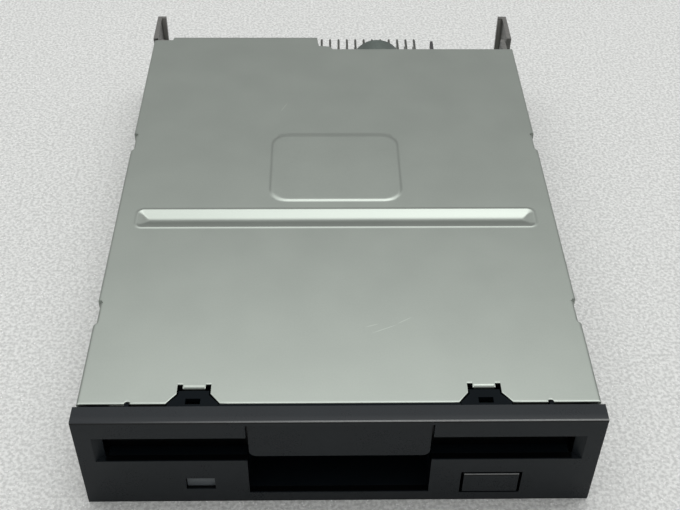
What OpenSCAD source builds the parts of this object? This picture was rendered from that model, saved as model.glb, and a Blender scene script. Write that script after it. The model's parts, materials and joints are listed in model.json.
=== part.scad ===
// Slimline 3.5 inch floppy disk drive: bezel, chassis, cover and the whole loading mechanism.
// Depths are measured from the bezel face, which is at y = 0 inside the modules, and heights
// from the underside. The finished part is moved so that its origin is under its middle.

/* [Overall] */
// Width of the bezel and over the chassis rails
drive_w = 101.6; // [101.2:0.1:103]
// Height of the bezel
drive_h = 25.4; // [25.2:0.1:27]
// Depth of the bezel
bezel_t = 4.5; // [4.2:0.1:5.5]
// Depth from the bezel face to the rear tabs of the chassis
chassis_l = 149.8; // [149:0.1:156]
// Drop from the top of the bezel to the flat of the top cover
cover_drop = 0.8; // [0.4:0.1:1]

/* [Sheet thicknesses] */
// Sheet of the chassis
chassis_t = 1.2; // [1:0.1:1.4]
// Sheet of the top cover
cover_t = 0.8; // [0.5:0.1:1]
// Sheet of the eject slider
slider_t = 0.7; // [0.5:0.1:0.8]
// Sheet of the disk holder
holder_t = 0.7; // [0.5:0.1:0.8]
// Wall of the bezel moulding
bezel_wall = 1.6; // [1.4:0.1:1.8]

/* [Disk] */
// Play of the disk at each side of its holder
disk_play = 0.9; // [0.6:0.1:1.2]
// Distance from the hub of the disk to its leading edge
hub_to_edge = 45; // [44.5:0.1:46]
// Height at which the loaded disk rests
rest_h = 10.6; // [10.5:0.1:10.8]

/* [Bezel openings] */
// Height of the lower lip of the disk slot
slot_low = 13.4; // [13.2:0.1:13.5]
// Drop from the top of the bezel to the upper lip of the disk slot
slot_drop = 4.9; // [4.4:0.1:5.4]
// Play of the disk at each end of the slot
slot_play = 0.2; // [0.1:0.1:0.5]
// Flare of each end of the slot
slot_flare = 2.3; // [1.5:0.1:2.6]
// Width of the finger recess
recess_w = 35.2; // [32:0.1:37]
// Height of the floor of the finger recess
recess_low = 2.8; // [2.6:0.1:3.4]
// Drop from the top of the bezel to the top of the finger recess
recess_drop = 1.2; // [1:0.1:1.6]
// Depth of the finger recess
recess_d = 11; // [8:0.5:12]
// Middle of the eject button across the bezel
button_x = 30.3; // [29:0.1:31]
// Width of the eject button
button_w = 11.4; // [10:0.1:12]
// Height of the eject button
button_h = 6; // [5:0.1:6.4]
// Height of the middle of the button
button_z = 5.8; // [5.6:0.1:6]
// How far the button stands out of the bezel
button_proud = 0.1; // [0:0.1:1]
// Middle of the lamp lens across the bezel
lens_x = -27.65; // [-30:0.05:-25]
// Width of the lamp lens
lens_w = 5.6; // [5:0.1:6]
// Height of the lamp lens
lens_h = 3.4; // [3:0.1:3.8]
// Height of the middle of the lamp lens
lens_z = 5.95; // [5.6:0.05:6.2]

/* [Cover] */
// Gap between the bezel and the front edge of the cover
cover_gap = 0.9; // [0.6:0.1:1.2]
// Length of the rear tabs of the chassis, behind the left corner of the cover
tab_l = 12.2; // [11:0.1:13]
// How far the right part of the cover ends in front of its left corner
cover_step = 4.8; // [3:0.1:6]
// How far the rear flap of the cover runs past its left corner
cover_tail = 1.5; // [0.5:0.1:2]
// Depth to the middle of the pressed groove across the cover
groove_y = 59.8; // [58:0.1:61]
// Width of the groove at its rim
groove_w = 5.5; // [5:0.1:7]
// Width of the flat floor of the groove
groove_floor = 1; // [0.8:0.1:1.6]
// Depth of the groove
groove_d = 0.7; // [0.4:0.1:0.8]
// Distance from each end of the groove to the side of the cover
groove_end = 4.4; // [3.5:0.1:8]
// Depth to the middle of the raised panel
panel_y = 78.8; // [78:0.1:80]
// Width of the raised panel
panel_w = 31.5; // [28:0.5:34]
// Length of the raised panel
panel_l = 26.2; // [24:0.1:27]
// Height of the raised panel
panel_h = 0.3; // [0.2:0.1:0.5]
// Distance of the latch tongues from the middle
tongue_x = 28.2; // [27:0.1:30]

/* [Loading] */
// Travel of the eject slider
eject_stroke = 5; // [4.6:0.1:5.2]
// Drop of the disk holder
holder_drop = 3.2; // [3:0.1:3.4]
// Room for the return springs between the slider and the cover
spring_room = 2.5; // [2.4:0.1:2.8]
// Radius of the guide pins of the holder
pin_r = 1; // [0.8:0.1:1.1]
// Depth to the front guide pins
pin_front_y = 20; // [19:0.5:20.5]
// Distance from the rear guide pins to the rear edge of the holder
pin_rear_set = 21.5; // [20:0.5:23]
// Thickness of the shutter lever
lever_t = 1; // [0.8:0.1:1.1]
// Length of the shutter lever from its post to its pin
lever_l = 22; // [20:0.5:23]

/* [Spindle] */
// Distance from the spindle to the rear of the chassis
spindle_set = 95.8; // [95.3:0.1:96.3]
// Radius of the rotor
rotor_r = 21; // [20:0.1:21.2]
// Radius of the spindle shaft
shaft_r = 1.5; // [1.2:0.1:1.8]
// Radius of the hub
hub_r = 11; // [10:0.5:12]
// Number of poles of the stator
pole_count = 9; // [6:3:12]

/* [Heads] */
// Distance of the heads from the spindle in mid travel
head_reach = 32.1; // [31.8:0.1:32.6]
// Travel of the heads
head_travel = 14.8; // [14:0.1:15]
// Gap between the lifted upper arm and the cover
arm_gap = 2.27; // [2:0.01:3]
// Radius of the guide rod
rod_r = 1.5; // [1.2:0.1:1.6]
// Crest radius of the lead screw
screw_r = 2; // [1.9:0.05:2.1]
// Advance of the lead screw in one turn
screw_lead = 3; // [2.5:0.1:3.5]
// Gap from the stepper can to the cover above it and to the board below it
can_gap = 0.9; // [0.7:0.1:1.4]
// Length of the stepper can
can_l = 13; // [11:0.5:13]

/* [Electronics] */
// Thickness of the main board
board_t = 1.6; // [1.2:0.1:1.6]
// Height of the top of the main board
board_top = 8; // [7.8:0.1:8.2]
// Thickness of the spindle motor board
motor_board_t = 1.2; // [1:0.1:1.3]
// Columns of the signal header
header_columns = 17; // [13:1:17]
// Pitch of the signal header
header_pitch = 2.54; // [2.5:0.01:2.54]
// Middle of the signal header across the drive
header_x = 4.45; // [2:0.05:5]
// How far the signal pins reach behind their header
pin_out = 8; // [6:0.5:10]
// Width of a header pin
header_pin_w = 0.64; // [0.5:0.01:0.7]

/* [Hidden] */
$fn = 48;

// Clearances
run_gap = 0.3;
seat_gap = 0.1;
bore_gap = 0.04;
slot_gap = 0.2;
eps = 0.01;

// Stack across the drive, from the rails inwards
half_w = drive_w / 2;
skirt_set = 0.35;
wall_gap = 0.45;
skirt_out = half_w - skirt_set;
skirt_in = skirt_out - cover_t;
wall_out = skirt_in - wall_gap;
wall_in = wall_out - chassis_t;
slider_out = wall_in - run_gap - seat_gap;
slider_in = slider_out - slider_t;
holder_out = slider_in - run_gap;
holder_in = holder_out - holder_t;
disk_w = 2 * (holder_in - disk_play);
slot_w = disk_w + 2 * slot_play;

// Stack from the floor up to the disk, and from the cover down to it
floor_t = chassis_t;
lip_top = rest_h - seat_gap + holder_drop;
lip_low = lip_top - holder_t;
cover_top = drive_h - cover_drop;
cover_low = cover_top - cover_t;
slider_top = cover_low - spring_room;
slider_low = slider_top - slider_t;
lever_gap = 0.7;
lever_top = slider_low - lever_gap;
lever_low = lever_top - lever_t;
holder_top = lever_low - run_gap;
holder_roof = holder_top - holder_t;
pin_rise = 0.4;
pin_z = (lip_low + holder_top) / 2 + pin_rise;

// Chain along the drive, from the rear of the chassis forwards
tab_y = chassis_l - tab_l;
tab_gap = 0.4;
cover_front = bezel_t + cover_gap;
cover_corner_l = tab_y - tab_gap;
cover_right_l = cover_corner_l - cover_step;
cover_flap_l = cover_corner_l + cover_tail;
spindle_y = chassis_l - spindle_set;
disk_back = spindle_y + hub_to_edge;

// Chassis
rail_h = 9;
wall_start = 1.6;
wall_front = bezel_t + wall_start;
tab_out = half_w;
tab_in = tab_out - chassis_t;
tab_lip = 1.2;
tab_rise = 0.2;
tab_top = cover_top + tab_rise;
ledge_h = 1.2;
ledge_y = [41, 73];
ledge_l = 6;
mount_front = 31;
mount_step = 70;
mount_y = [bezel_t + mount_front, bezel_t + mount_front + mount_step];
mount_z = 5;
mount_r = 1.25;
mount_inset = 5.8;
mount_base_x = half_w - mount_inset;
collar_r = 2.6;
collar_h = 2.2;
boss_r = 3;
boss_h = 1.2;
screw_hole_r = 1.25;
head_r = 2.2;
head_h = 1.3;
head_dome = 0.5;
motor_boss_x = 26;
motor_boss_back = 16;
motor_boss_front = 20;
motor_bosses = [for (x = [-motor_boss_x, motor_boss_x], y = [motor_boss_back, -motor_boss_front])
    [x, spindle_y + y]];
motor_window_r = 15;
rib_w = 5;
rib_h = 0.8;
rib_wall = 0.9;
rib_in = 8;
rib_front = 40;
rib_set = 14;
rib_back = disk_back - rib_set;
slot_over = 0.5;
lance_y = [29.6, 88.9];
lance_l = 7.2;
lance_in = 0.7;
lance_slit = 0.8;
lance_low = 14;
lance_play = 0.6;
lance_foot = 0.5;
skirt_gap = 0.6;

// Rear edge of the cover, latch tongues and nubs
flap_start = 5.5;
flap_corner = 0.3;
step_run = [1, 4, 4.5];
step_rise = [1.4, 1.8];
panel_corner = 4.5;
tongue_root = 4.9;
tongue_tip = 3;
tongue_shoulder = 1.9;
tongue_l = 3.8;
tongue_play = 0.3;
tongue_rise = 0.3;
tongue_hole = [2.75, 1.2];
tongue_hole_y = 0.7;
tongue_hook = 1;
ear_size = [1.1, 1.8];
ear_corner = 0.5;
catch_w = 4;
catch_drop = 1.1;
nub_set = 10.1;
nub_x = half_w - nub_set;
nub_r = 0.6;
nub_play = 0.25;

// Bezel
slot_high = drive_h - slot_drop;
recess_high = drive_h - recess_drop;
bezel_bevel = 0.3;
pocket_wall = 1.2;
pocket_drop = 0.6;
lip_t = 1.2;
hook_in = 12.8;
hook_w = 6;
hook_reach = 3.5;
collar_wall = 0.9;
button_gap = 0.4;
button_bevel = 0.5;
button_wall = 1;
button_l = 9;
button_collar = 1.5;
lens_sink = 0.8;
lens_flange = 0.6;
lens_flange_t = 1;

// Flap
flap_axis_set = 0.5;
flap_axis_y = bezel_t - flap_axis_set;
flap_axis_drop = 2.7;
flap_axis_z = drive_h - flap_axis_drop;
flap_t = 1;
flap_y = flap_axis_y - flap_t / 2;
flap_w = disk_w;
flap_boss_gap = 0.5;
flap_boss_y = 0.9;
flap_boss_drop = 0.4;
flap_boss_r = 2;
flap_low = slot_low + run_gap;
knuckle_r = 0.9;
trunnion_r = 0.7;
flap_ear_gap = 0.4;
flap_ear_in = flap_w / 2 + flap_ear_gap;
flap_ear_t = 1.5;
flap_ear_drop = 1.4;
flap_spring_in = 4;
flap_spring_x = -flap_w / 2 + flap_spring_in;
flap_spring_l = 3.4;
flap_spring_wall = 0.2;
flap_spring_play = 0.08;
flap_spring_room = 1.3;
flap_reach = flap_axis_y + norm([flap_y + flap_t - flap_axis_y, flap_axis_z - flap_low]);

// Holder
lip_w = 3.5;
holder_front = flap_reach + run_gap;
holder_over = 0.5;
holder_back = disk_back + holder_over;
pin_rear_y = holder_back - pin_rear_set;
pin_neck = 0.2;
head_bay_w = 40;
head_bay_set = 16;
head_bay_y = spindle_y + head_bay_set;
hub_hole_set = 8;
hub_hole_r = hub_r + 3;

// Slider
slider_front = holder_front;
slider_set = 3.5;
slider_back = holder_back - slider_set;
slider_skirt_low = rail_h + ledge_h + slot_gap;
slider_bay_w = 46;
slider_bay_set = 4;
slider_bay_y = spindle_y + slider_bay_set;
slider_plate_front = holder_front + eject_stroke;
slider_window = [50, 20];
slider_window_set = 18;
slider_window_corner = 5;
arm_y = 14;
arm_low = 4.6;
arm_high = 9.2;
arm_step = 2.8;
arm_x = button_x - arm_step;
arm_root = 8;
stem_w = 5.5;
stem_h = 3.2;
stem_low = 4.2;
stem_front = 0.5;
stem_tail = 1.6;
cam_slot_r = pin_r + slot_gap;

// Return springs
spring_set = 8;
spring_x = wall_in - spring_set;
spring_r = 1.1;
spring_wire = 0.3;
spring_over = 1.3;
spring_z = slider_top + spring_over;
spring_front = 26.6;
spring_back = 52;
spring_hook = 4;
spring_tail = 2;
lug_w = 3;
lug_over = 0.6;

// Shutter lever and disk rests
lever_x = -33;
lever_set = 4;
lever_y = disk_back + lever_set;
lever_rest = -44.5;
lever_eye_r = 4;
lever_root = 6.8;
lever_tip = 3.2;
lever_pin_r = 1.1;
lever_pin_over = 0.5;
lever_post_r = 1.5;
post_foot_r = 2.6;
post_neck = 3;
post_cap_r = 2.2;
post_cap_t = 0.4;
lever_spring_r = 2.3;
lever_spring_l = 2.7;
rest_x = holder_in - 6.4;
rest_front = 27;
rest_set = 7;
rest_r = 2;
rest_pad_r = 1.6;
rest_tip_r = 1.2;
rest_pad_h = 1.2;

// Switches: write protect, density and disk in place
switch_set = 5.4;
switch_x = holder_in - switch_set;
switch_y = 18.6;
switch_step = 7;
switch_size = [6.4, 6, 5];
switch_bore = 1.6;
switches = [-switch_x, switch_x, -switch_x + switch_step];
plunger_r = 0.9;
plunger_over = 1;
plunger_top = rest_h + plunger_over;
plunger_low = 3.2;
plunger_tip = 0.5;
plunger_round = 0.4;

// Spindle motor
motor_board_low = floor_t + boss_h;
motor_board_top = motor_board_low + motor_board_t;
wing_set = 2.9;
wing_x = slider_in - wing_set;
wing_front = switch_y - switch_size.y / 2 - 0.6;
wing_back = switch_y + switch_size.y / 2 + 1.4;
lamp_size = [3, 3.8, 4];
lamp_gap = 1.2;
lamp_y = bezel_t + lamp_gap;
lamp_tongue = 5.5;
lamp_tongue_y = bezel_t + 2.5;
motor_waist = 30;
motor_set = 24;
motor_corner = [4, 3];
motor_hole_r = 1.5;
flange_t = 1;
flange_r = 8.5;
core_low = motor_board_top + flange_t;
core_t = 1.8;
core_ring = 2.5;
tooth_w = 1.8;
tooth_in = 0.6;
shoe_w = 7.2;
shoe_t = 1;
coil_over = 0.6;
coil_w = 3.8;
coil_in = 0.9;
coil_out = 1.5;
cup_gap = 0.6;
cup_low = motor_board_top + cup_gap;
cup_h = 5.2;
cup_top = cup_low + cup_h;
cup_t = 1;
vent_count = 6;
vent_r = 1.8;
vent_set = 4;
magnet_t = 1.8;
magnet_gap = 0.3;
air_gap = 0.5;
hub_over = 0.6;
hub_top = rest_h + hub_over;
hub_neck_r = 3;
hub_neck_l = 1.2;
hub_ring = 3.4;
hub_core = 4;
hub_groove = 0.4;
shaft_over = 1.6;
shaft_top = hub_top + shaft_over;
shaft_gap = 0.4;
shaft_round = 0.35;
bush_r = 4;
bush_gap = 0.2;
bush_drop = 1.4;
drive_pin_r = 0.9;
drive_pin_in = 1.8;
drive_pin_seat = 1.2;
drive_pin_l = 2.6;
magnet_out = rotor_r - cup_t - bore_gap;
core_out = magnet_out - magnet_t - air_gap;
core_in = 7;

// Heads
head_y = spindle_y + head_reach;
half_travel = head_travel / 2;
media_over = 1.65;
media_z = rest_h + media_over;
head_w = 3;
head_gap = 0.1;
lower_head_gap = 0.15;
gimbal = [6, 5, 0.5];
gimbal_front = 2;
arm_over = 2.05;
arm_under = media_z + arm_over;
arm_plate_t = 1.5;
arm_tip = 2.6;
arm_tip_w = 6.4;
arm_w = 11;
arm_neck_w = 7.6;
arm_neck_set = 0.8;
arm_shoulder = 1.5;
arm_rib = [1, 3];
arm_rib_x = 4.6;
arm_rib_set = 3;
tower_gap = 0.6;
tower_y = disk_back + half_travel + tower_gap;
tower_l = 9;
tower_back = tower_y + tower_l;
hinge_set = 5;
hinge_y = tower_y + hinge_set;
hinge_over = 2.2;
hinge_z = arm_under + hinge_over;
hinge_r = 0.8;
hinge_wall = 1.8;
knuckle_out = 1.7;
tower_in = -6.5;
tower_out = 8.5;
ear_in = 4.2;
ear_out = 6.5;
pin_end = 0.3;
arm_mid = (head_y + tower_y) / 2;
arm_wide = arm_mid - 4.5;
arm_window = [4.4, (tower_y - head_y) / 3];
arm_window_y = arm_mid + 0.5;
arm_lift = asin((cover_low - arm_gap - arm_under - arm_plate_t) / (hinge_y - head_y + arm_tip));
carriage_low = 5.6;
carriage_drop = 0.4;
carriage_top = rest_h - carriage_drop;
carriage_seat = 0.8;
carriage_nose = [6, 2.8];
carriage_waist = [9, 4];
carriage_window = [5, (tower_y - head_y) / 3];
carriage_window_y = arm_mid + 1.5;
window_corner = 1.8;
flag_w = 1.2;
flag_l = 7.6;
flag_low = 9.4;
flag_h = 2.2;
rod_x = -12;
rod_z = 8;
sleeve_w = 8;
sleeve_l = 7;
rod_block_l = 3.4;
rod_block_w = 6;
rod_block_over = 0.8;
rod_front_gap = 3.2;
rod_back_gap = 2;
rod_end = 0.4;
rod_front = tower_y - sleeve_l - half_travel - rod_front_gap - rod_block_l;
rod_back = tower_back + half_travel + rod_back_gap + rod_block_l;

// Lead screw and stepper
screw_x = 12.7;
screw_z = (cover_low + board_top) / 2;
can_r = (cover_low - board_top) / 2 - can_gap;
can_room = 3.6;
can_front = tower_back + half_travel + can_room;
can_spigot_r = 2.8;
terminal_end = 2;
terminal_in = 2.5;
terminal_gap = 0.4;
bracket_t = chassis_t;
bracket_in = screw_x - 2.9;
bracket_out = screw_x + 4.3;
bracket_set = 4.4;
bracket_front = tower_y - bracket_set;
bracket_end_w = 3.2;
bracket_end_over = 2.8;
bracket_cheek = 0.6;
foot_w = 7;
foot_set = 1.5;
foot_l = 19;
foot_screw_x = bracket_out + 4.6;
bracket_screws = [bracket_front + 5, bracket_front + 17];
foot_head_r = 2;
foot_shank = 0.02;
rail_low = 9.5;
shoe_l = 4;
shoe_in = 1.5;
shoe_wall = 1.1;
follower_set = 2.5;
follower_y = hinge_y + follower_set;
follower_r = 0.9;
follower_tip_r = 0.35;
follower_gap = 0.5;
follower_in = 0.2;
thread_ecc = 0.25;
thread_over = [2.5, 1.6];
thread_front = follower_y - half_travel - thread_over[0];
thread_back = follower_y + half_travel + thread_over[1];
thread_step = 30;
thread_sides = 20;
journal_r = 0.8;
journal_end = 0.5;
tail_r = 1.2;
tail_end = 1;

// Main board and headers
board_low = board_top - board_t;
board_side = 2;
board_half = wall_in - board_side;
board_set = 2.3;
board_back = chassis_l - board_set;
board_lever_gap = 5;
board_front = lever_y + board_lever_gap;
board_corner = 4;
notch_left = rod_x - 8;
notch_right = bracket_out + foot_w + 2;
notch_back = rod_back + 1;
post_in = 4;
post_x = board_half - post_in;
post_front = 4;
post_rear_left = 4.5;
post_rear_right = 10.5;
board_posts = [[-post_x, board_front + post_front], [-post_x, board_back - post_rear_left],
    [post_x, board_front + board_corner + post_front], [post_x, board_back - post_rear_right]];
post_r = 2.4;
post_bore_low = 1;
post_play = 0.15;
board_screw_l = 2.5;
leg_hole_r = 0.55;
header_seat = 2.8;
header_row_low = board_top + header_seat;
header_over = 0.5;
header_back = board_back + header_over;
header_t = header_pitch;
header_l = header_columns * header_pitch;
leg_gap = 1.3;
leg_below = 1;
pin_tip = header_back + pin_out;
power_x = 33.5;
power_pitch = 2.5;
power_count = 4;
power_seat = 3.4;
power_z = board_top + power_seat;
power_out = 5.5;
power_tip = header_back + power_out;
power_side = 0.8;
power_over = 2.4;
power_leg_gap = 1.4;
power_tray = [1, 1];
power_key = [0.8, 2, 2.5];
power_key_x = 4.3;

// Parts on the main board
chip_set = 1.75;
chip_y = (board_front + board_back) / 2 - chip_set;
controller_x = -32;
controller_size = [14, 14, 1.6];
driver_size = [7, 11, 1.8];
crystal_x = -22.6;
crystal_size = [4, 10, 3];
crystal_corner = 1.9;
sensor_half = 3.2;
sensor_gap = 1.2;
sensor_l = 4.2;
sensor_h = 6;
sensor_slot = 2.6;
sensor_floor = 1;

// Windows in the floor of the chassis
window_front = bezel_t + 7.5;
window_front_size = [24, 7];
window_front_corner = 2;
window_left_x = -31;
window_left_w = 20;
window_left_in = [8, 7.5];
window_rear_x = 8;
window_rear_set = 11.8;
window_rear_size = [44, 9];
window_r = 3;

// Frame
origin_y = (pin_tip - button_proud) / 2;

// Shared shapes

// Puts a module that is measured from the bezel face into the frame of the part
module placed() translate([0, -origin_y, 0]) children();

// Draws its children on the right and mirrored on the left
module both_sides() {
    children();
    mirror([1, 0, 0]) children();
}

// A box between two corners
module block(a, b) translate(a) cube(b - a);

// A cylinder along X from x = a to x = b
module bar_x(a, b, y, z, r) translate([a, y, z]) rotate([0, 90, 0]) cylinder(r = r, h = b - a);

// A cylinder along Y from y = a to y = b
module bar_y(x, a, b, z, r) translate([x, a, z]) rotate([-90, 0, 0]) cylinder(r = r, h = b - a);

// A square bar along Y
module pin_bar(x, a, b, z, w) block([x - w / 2, a, z - w / 2], [x + w / 2, b, z + w / 2]);

// A plate between two heights with round corners, centred on a point
module pad(x, y, low, high, size, r) translate([x, y, low]) linear_extrude(high - low)
    polygon(round_rect(size.x, size.y, r));

// Outline of a rectangle with round corners, centred
function round_rect(w, l, r, n = 6) = [for (c = [0 : 3], k = [0 : n])
    let (a = 90 * c + 90 * k / n,
         sx = (c == 0 || c == 3) ? 1 : -1,
         sy = c < 2 ? 1 : -1)
    [sx * (w / 2 - r) + r * cos(a), sy * (l / 2 - r) + r * sin(a)]];

// A pan head screw whose head sits at z = seat, with its shank below
module pan_screw(seat, length, r = head_r) {
    translate([0, 0, seat]) cylinder(r1 = r, r2 = r - head_dome, h = head_h);
    translate([0, 0, seat - length]) cylinder(r = screw_hole_r - bore_gap, h = length);
}

// Places along the headers: columns, rows and the legs into the board
function column_x(c) = header_x + (c - (header_columns - 1) / 2) * header_pitch;
function row_z(row) = header_row_low + row * header_pitch;
function leg_y(row) = header_back - header_t - leg_gap - row * header_pitch;
function power_pin_x(c) = power_x + (c - (power_count - 1) / 2) * power_pitch;

// Chassis, cover and front

module chassis() color("#6d6a62") difference() {
    union() {
        block([-half_w, bezel_t, 0], [half_w, chassis_l, floor_t]);
        both_sides() chassis_side();
        for (p = motor_bosses) translate([p.x, p.y, 0]) cylinder(r = boss_r, h = floor_t + boss_h);
    }
    translate([0, spindle_y, -eps]) cylinder(r = motor_window_r, h = floor_t + 2 * eps);
    for (p = motor_bosses) translate([p.x, p.y, -eps])
        cylinder(r = screw_hole_r, h = floor_t + boss_h + 2 * eps);
    both_sides() chassis_side_cuts();
    chassis_windows();
}

// One side of the chassis: rail, shelf, upper wall, rear tab with its lip, pressed rib and collars
module chassis_side() {
    shelf = rail_h - chassis_t;
    block([half_w - chassis_t, bezel_t, 0], [half_w, chassis_l, rail_h]);
    block([wall_in, bezel_t, shelf], [half_w, chassis_l, rail_h]);
    block([wall_in, wall_front, shelf], [wall_out, tab_y + chassis_t, cover_low]);
    block([wall_in, tab_y, shelf], [tab_out, tab_y + chassis_t, cover_low]);
    block([tab_in, tab_y, shelf], [tab_out, chassis_l, tab_top]);
    block([tab_in - tab_lip, chassis_l - chassis_t, shelf], [tab_out, chassis_l, tab_top]);
    for (y = ledge_y) block([slider_in, y - ledge_l / 2, shelf],
        [wall_in + eps, y + ledge_l / 2, rail_h + ledge_h]);
    block([spring_x - lug_w / 2, spring_front - spring_hook, slider_top + lug_over],
        [wall_in + eps, spring_front - spring_hook + chassis_t, cover_low - run_gap]);
    pad(mount_base_x - rib_in, (rib_front + rib_back) / 2, eps, floor_t + rib_h,
        [rib_w, rib_back - rib_front], rib_w * 0.45);
    for (y = mount_y) {
        bar_x(half_w - chassis_t - collar_h, half_w - eps, y, mount_z, collar_r);
        translate([mount_base_x, y, eps]) cylinder(r = collar_r, h = floor_t + collar_h - eps);
    }
}

// Slots for the guide pins and the cover's lances, the hollow of the rib and the mounting holes
module chassis_side_cuts() {
    for (y = [pin_front_y, pin_rear_y])
        block([wall_in - eps, y - cam_slot_r, pin_z - holder_drop - pin_r - slot_over],
            [wall_out + eps, y + cam_slot_r, cover_low + 1]);
    for (y = lance_y)
        block([wall_in - eps, y - lance_l / 2 - lance_play, lance_low - lance_play],
            [wall_out + eps, y + lance_l / 2 + lance_play, cover_low + 1]);
    pad(mount_base_x - rib_in, (rib_front + rib_back) / 2, -eps, rib_h,
        [rib_w - 2 * rib_wall, rib_back - rib_front - 2 * rib_wall], (rib_w - 2 * rib_wall) * 0.45);
    for (y = mount_y) {
        bar_x(half_w - chassis_t - collar_h - eps, half_w + eps, y, mount_z, mount_r);
        translate([mount_base_x, y, -eps]) cylinder(r = mount_r, h = floor_t + collar_h + 2 * eps);
    }
}

// Windows in the floor
module chassis_windows() {
    high = floor_t + eps;
    left = [board_front + window_left_in[0], board_back - window_left_in[1]];
    pad(0, window_front, -eps, high, window_front_size, window_front_corner);
    pad(window_left_x, (left[0] + left[1]) / 2, -eps, high, [window_left_w, left[1] - left[0]], window_r);
    pad(window_rear_x, chassis_l - window_rear_set, -eps, high, window_rear_size, window_r);
}

// Outline of the top of the cover, with its stepped rear edge
function cover_outline() = [
    [-skirt_out, cover_front], [skirt_out, cover_front], [skirt_out, cover_right_l], [0, cover_right_l],
    [-step_run[0], cover_right_l + step_rise[0]], [-step_run[1], cover_right_l + step_rise[1]],
    [-step_run[2], cover_flap_l], [-skirt_out + flap_start, cover_flap_l],
    [-skirt_out + flap_start - flap_corner, cover_corner_l], [-skirt_out, cover_corner_l]];

module top_cover() color("#99a29a") difference() {
    union() {
        translate([0, 0, cover_low]) linear_extrude(cover_t) polygon(cover_outline());
        cover_skirt(1, cover_right_l);
        cover_skirt(-1, cover_corner_l);
        pad(0, panel_y, cover_top - eps, cover_top + panel_h, [panel_w, panel_l], panel_corner);
        translate([0, 0, -cover_t + eps]) cover_groove();
        both_sides() cover_catch();
    }
    cover_groove();
    pad(0, panel_y, cover_low - eps, cover_low + panel_h, [panel_w - 2 * cover_t, panel_l - 2 * cover_t],
        panel_corner - cover_t);
    both_sides() {
        cover_tongue_notch();
        for (y = lance_y) cover_lance_cut(y);
    }
}

// A skirt on one side, with the bent lances that snap into the chassis
module cover_skirt(side, back) mirror([side < 0 ? 1 : 0, 0, 0]) {
    block([skirt_in, cover_front, rail_h + skirt_gap], [skirt_out, back, cover_top]);
    for (y = lance_y)
        block([skirt_in - lance_in, y - lance_l / 2, lance_low],
            [skirt_out - lance_in, y + lance_l / 2 - lance_slit, cover_top]);
}

// The cut round a lance, which leaves the lance standing inside the skirt
module cover_lance_cut(y) {
    block([skirt_out - lance_in, y - lance_l / 2, lance_low - lance_foot],
        [skirt_out + eps, y + lance_l / 2, cover_top + eps]);
    block([skirt_in - lance_in - eps, y + lance_l / 2 - lance_slit, lance_low - lance_foot],
        [skirt_out + eps, y + lance_l / 2, cover_top + eps]);
}

// The hollow of the pressed groove below the top of the cover, with sloping sides and ends
module cover_groove() {
    half_l = skirt_out - groove_end;
    run = (groove_w - groove_floor) / 2;
    translate([0, groove_y, cover_top]) intersection() {
        rotate([90, 0, 90]) linear_extrude(drive_w, center = true) polygon(groove_profile(groove_w / 2, run));
        rotate([90, 0, 0]) linear_extrude(2 * groove_w, center = true) polygon(groove_profile(half_l, run));
    }
}

// Trapezoid below z = 0 that narrows by a run on each side
function groove_profile(half, run) = [
    [-half, eps], [-half, 0], [-half + run, -groove_d], [half - run, -groove_d], [half, 0], [half, eps]];

// Outline of a latch tongue that grows by a play all round, from its root at y = 0
function tongue_outline(play) = let (root = tongue_root + play, tip = tongue_tip + play) [
    [-root, 0], [root, 0], [tip, tongue_shoulder], [tip, tongue_l + play], [-tip, tongue_l + play],
    [-tip, tongue_shoulder]];

// Notch for a latch tongue, with its relief ears, and for the nub beside it
module cover_tongue_notch() {
    front = cover_front - eps;
    low = cover_low - 1;
    high = cover_top + 1;
    translate([tongue_x, front, low]) linear_extrude(high - low) polygon(tongue_outline(tongue_play));
    for (s = [-1, 1]) pad(tongue_x + s * (tongue_tip + tongue_play - ear_size.x / 2),
        front + tongue_l + slot_gap, low, high, ear_size, ear_corner);
    translate([nub_x, front, low]) cylinder(r = nub_r + nub_play, h = high - low);
}

// The tab bent down behind a tongue
module cover_catch() {
    y = cover_front + tongue_l + tongue_play;
    block([tongue_x - catch_w / 2, y, cover_low - catch_drop],
        [tongue_x + catch_w / 2, y + cover_t, cover_top]);
}

module front_bezel() color("#26292b") difference() {
    union() {
        difference() {
            bezel_body();
            block([-half_w + bezel_wall, bezel_wall, bezel_wall],
                [half_w - bezel_wall, bezel_t + 1, drive_h - bezel_wall]);
        }
        bezel_pocket();
        block([tongue_root - tongue_x, bezel_wall, drive_h - bezel_wall],
            [tongue_x - tongue_root, cover_front - seat_gap, cover_top]);
        both_sides() bezel_side_details();
        bezel_collar(button_x, button_z, button_w, button_h, bezel_t + button_collar);
        bezel_collar(lens_x, lens_z, lens_w, lens_h, bezel_t);
    }
    bezel_openings();
}

// Outer block with its front edges bevelled
module bezel_body() intersection() {
    block([-half_w, 0, 0], [half_w, bezel_t, drive_h]);
    translate([-half_w, 0, 0]) rotate([90, 0, 90]) linear_extrude(drive_w) polygon([
        [bezel_bevel, 0], [bezel_t, 0], [bezel_t, drive_h], [bezel_bevel, drive_h],
        [0, drive_h - bezel_bevel], [0, bezel_bevel]]);
    linear_extrude(drive_h) polygon([
        [-half_w, bezel_bevel], [-half_w + bezel_bevel, 0], [half_w - bezel_bevel, 0],
        [half_w, bezel_bevel], [half_w, bezel_t], [-half_w, bezel_t]]);
}

// Tray behind the finger recess
module bezel_pocket() difference() {
    block([-recess_w / 2 - pocket_wall, bezel_wall - eps, recess_low - pocket_wall],
        [recess_w / 2 + pocket_wall, recess_d + pocket_wall, rest_h - pocket_drop]);
    block([-recess_w / 2, 0, recess_low], [recess_w / 2, recess_d, rest_h]);
}

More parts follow.
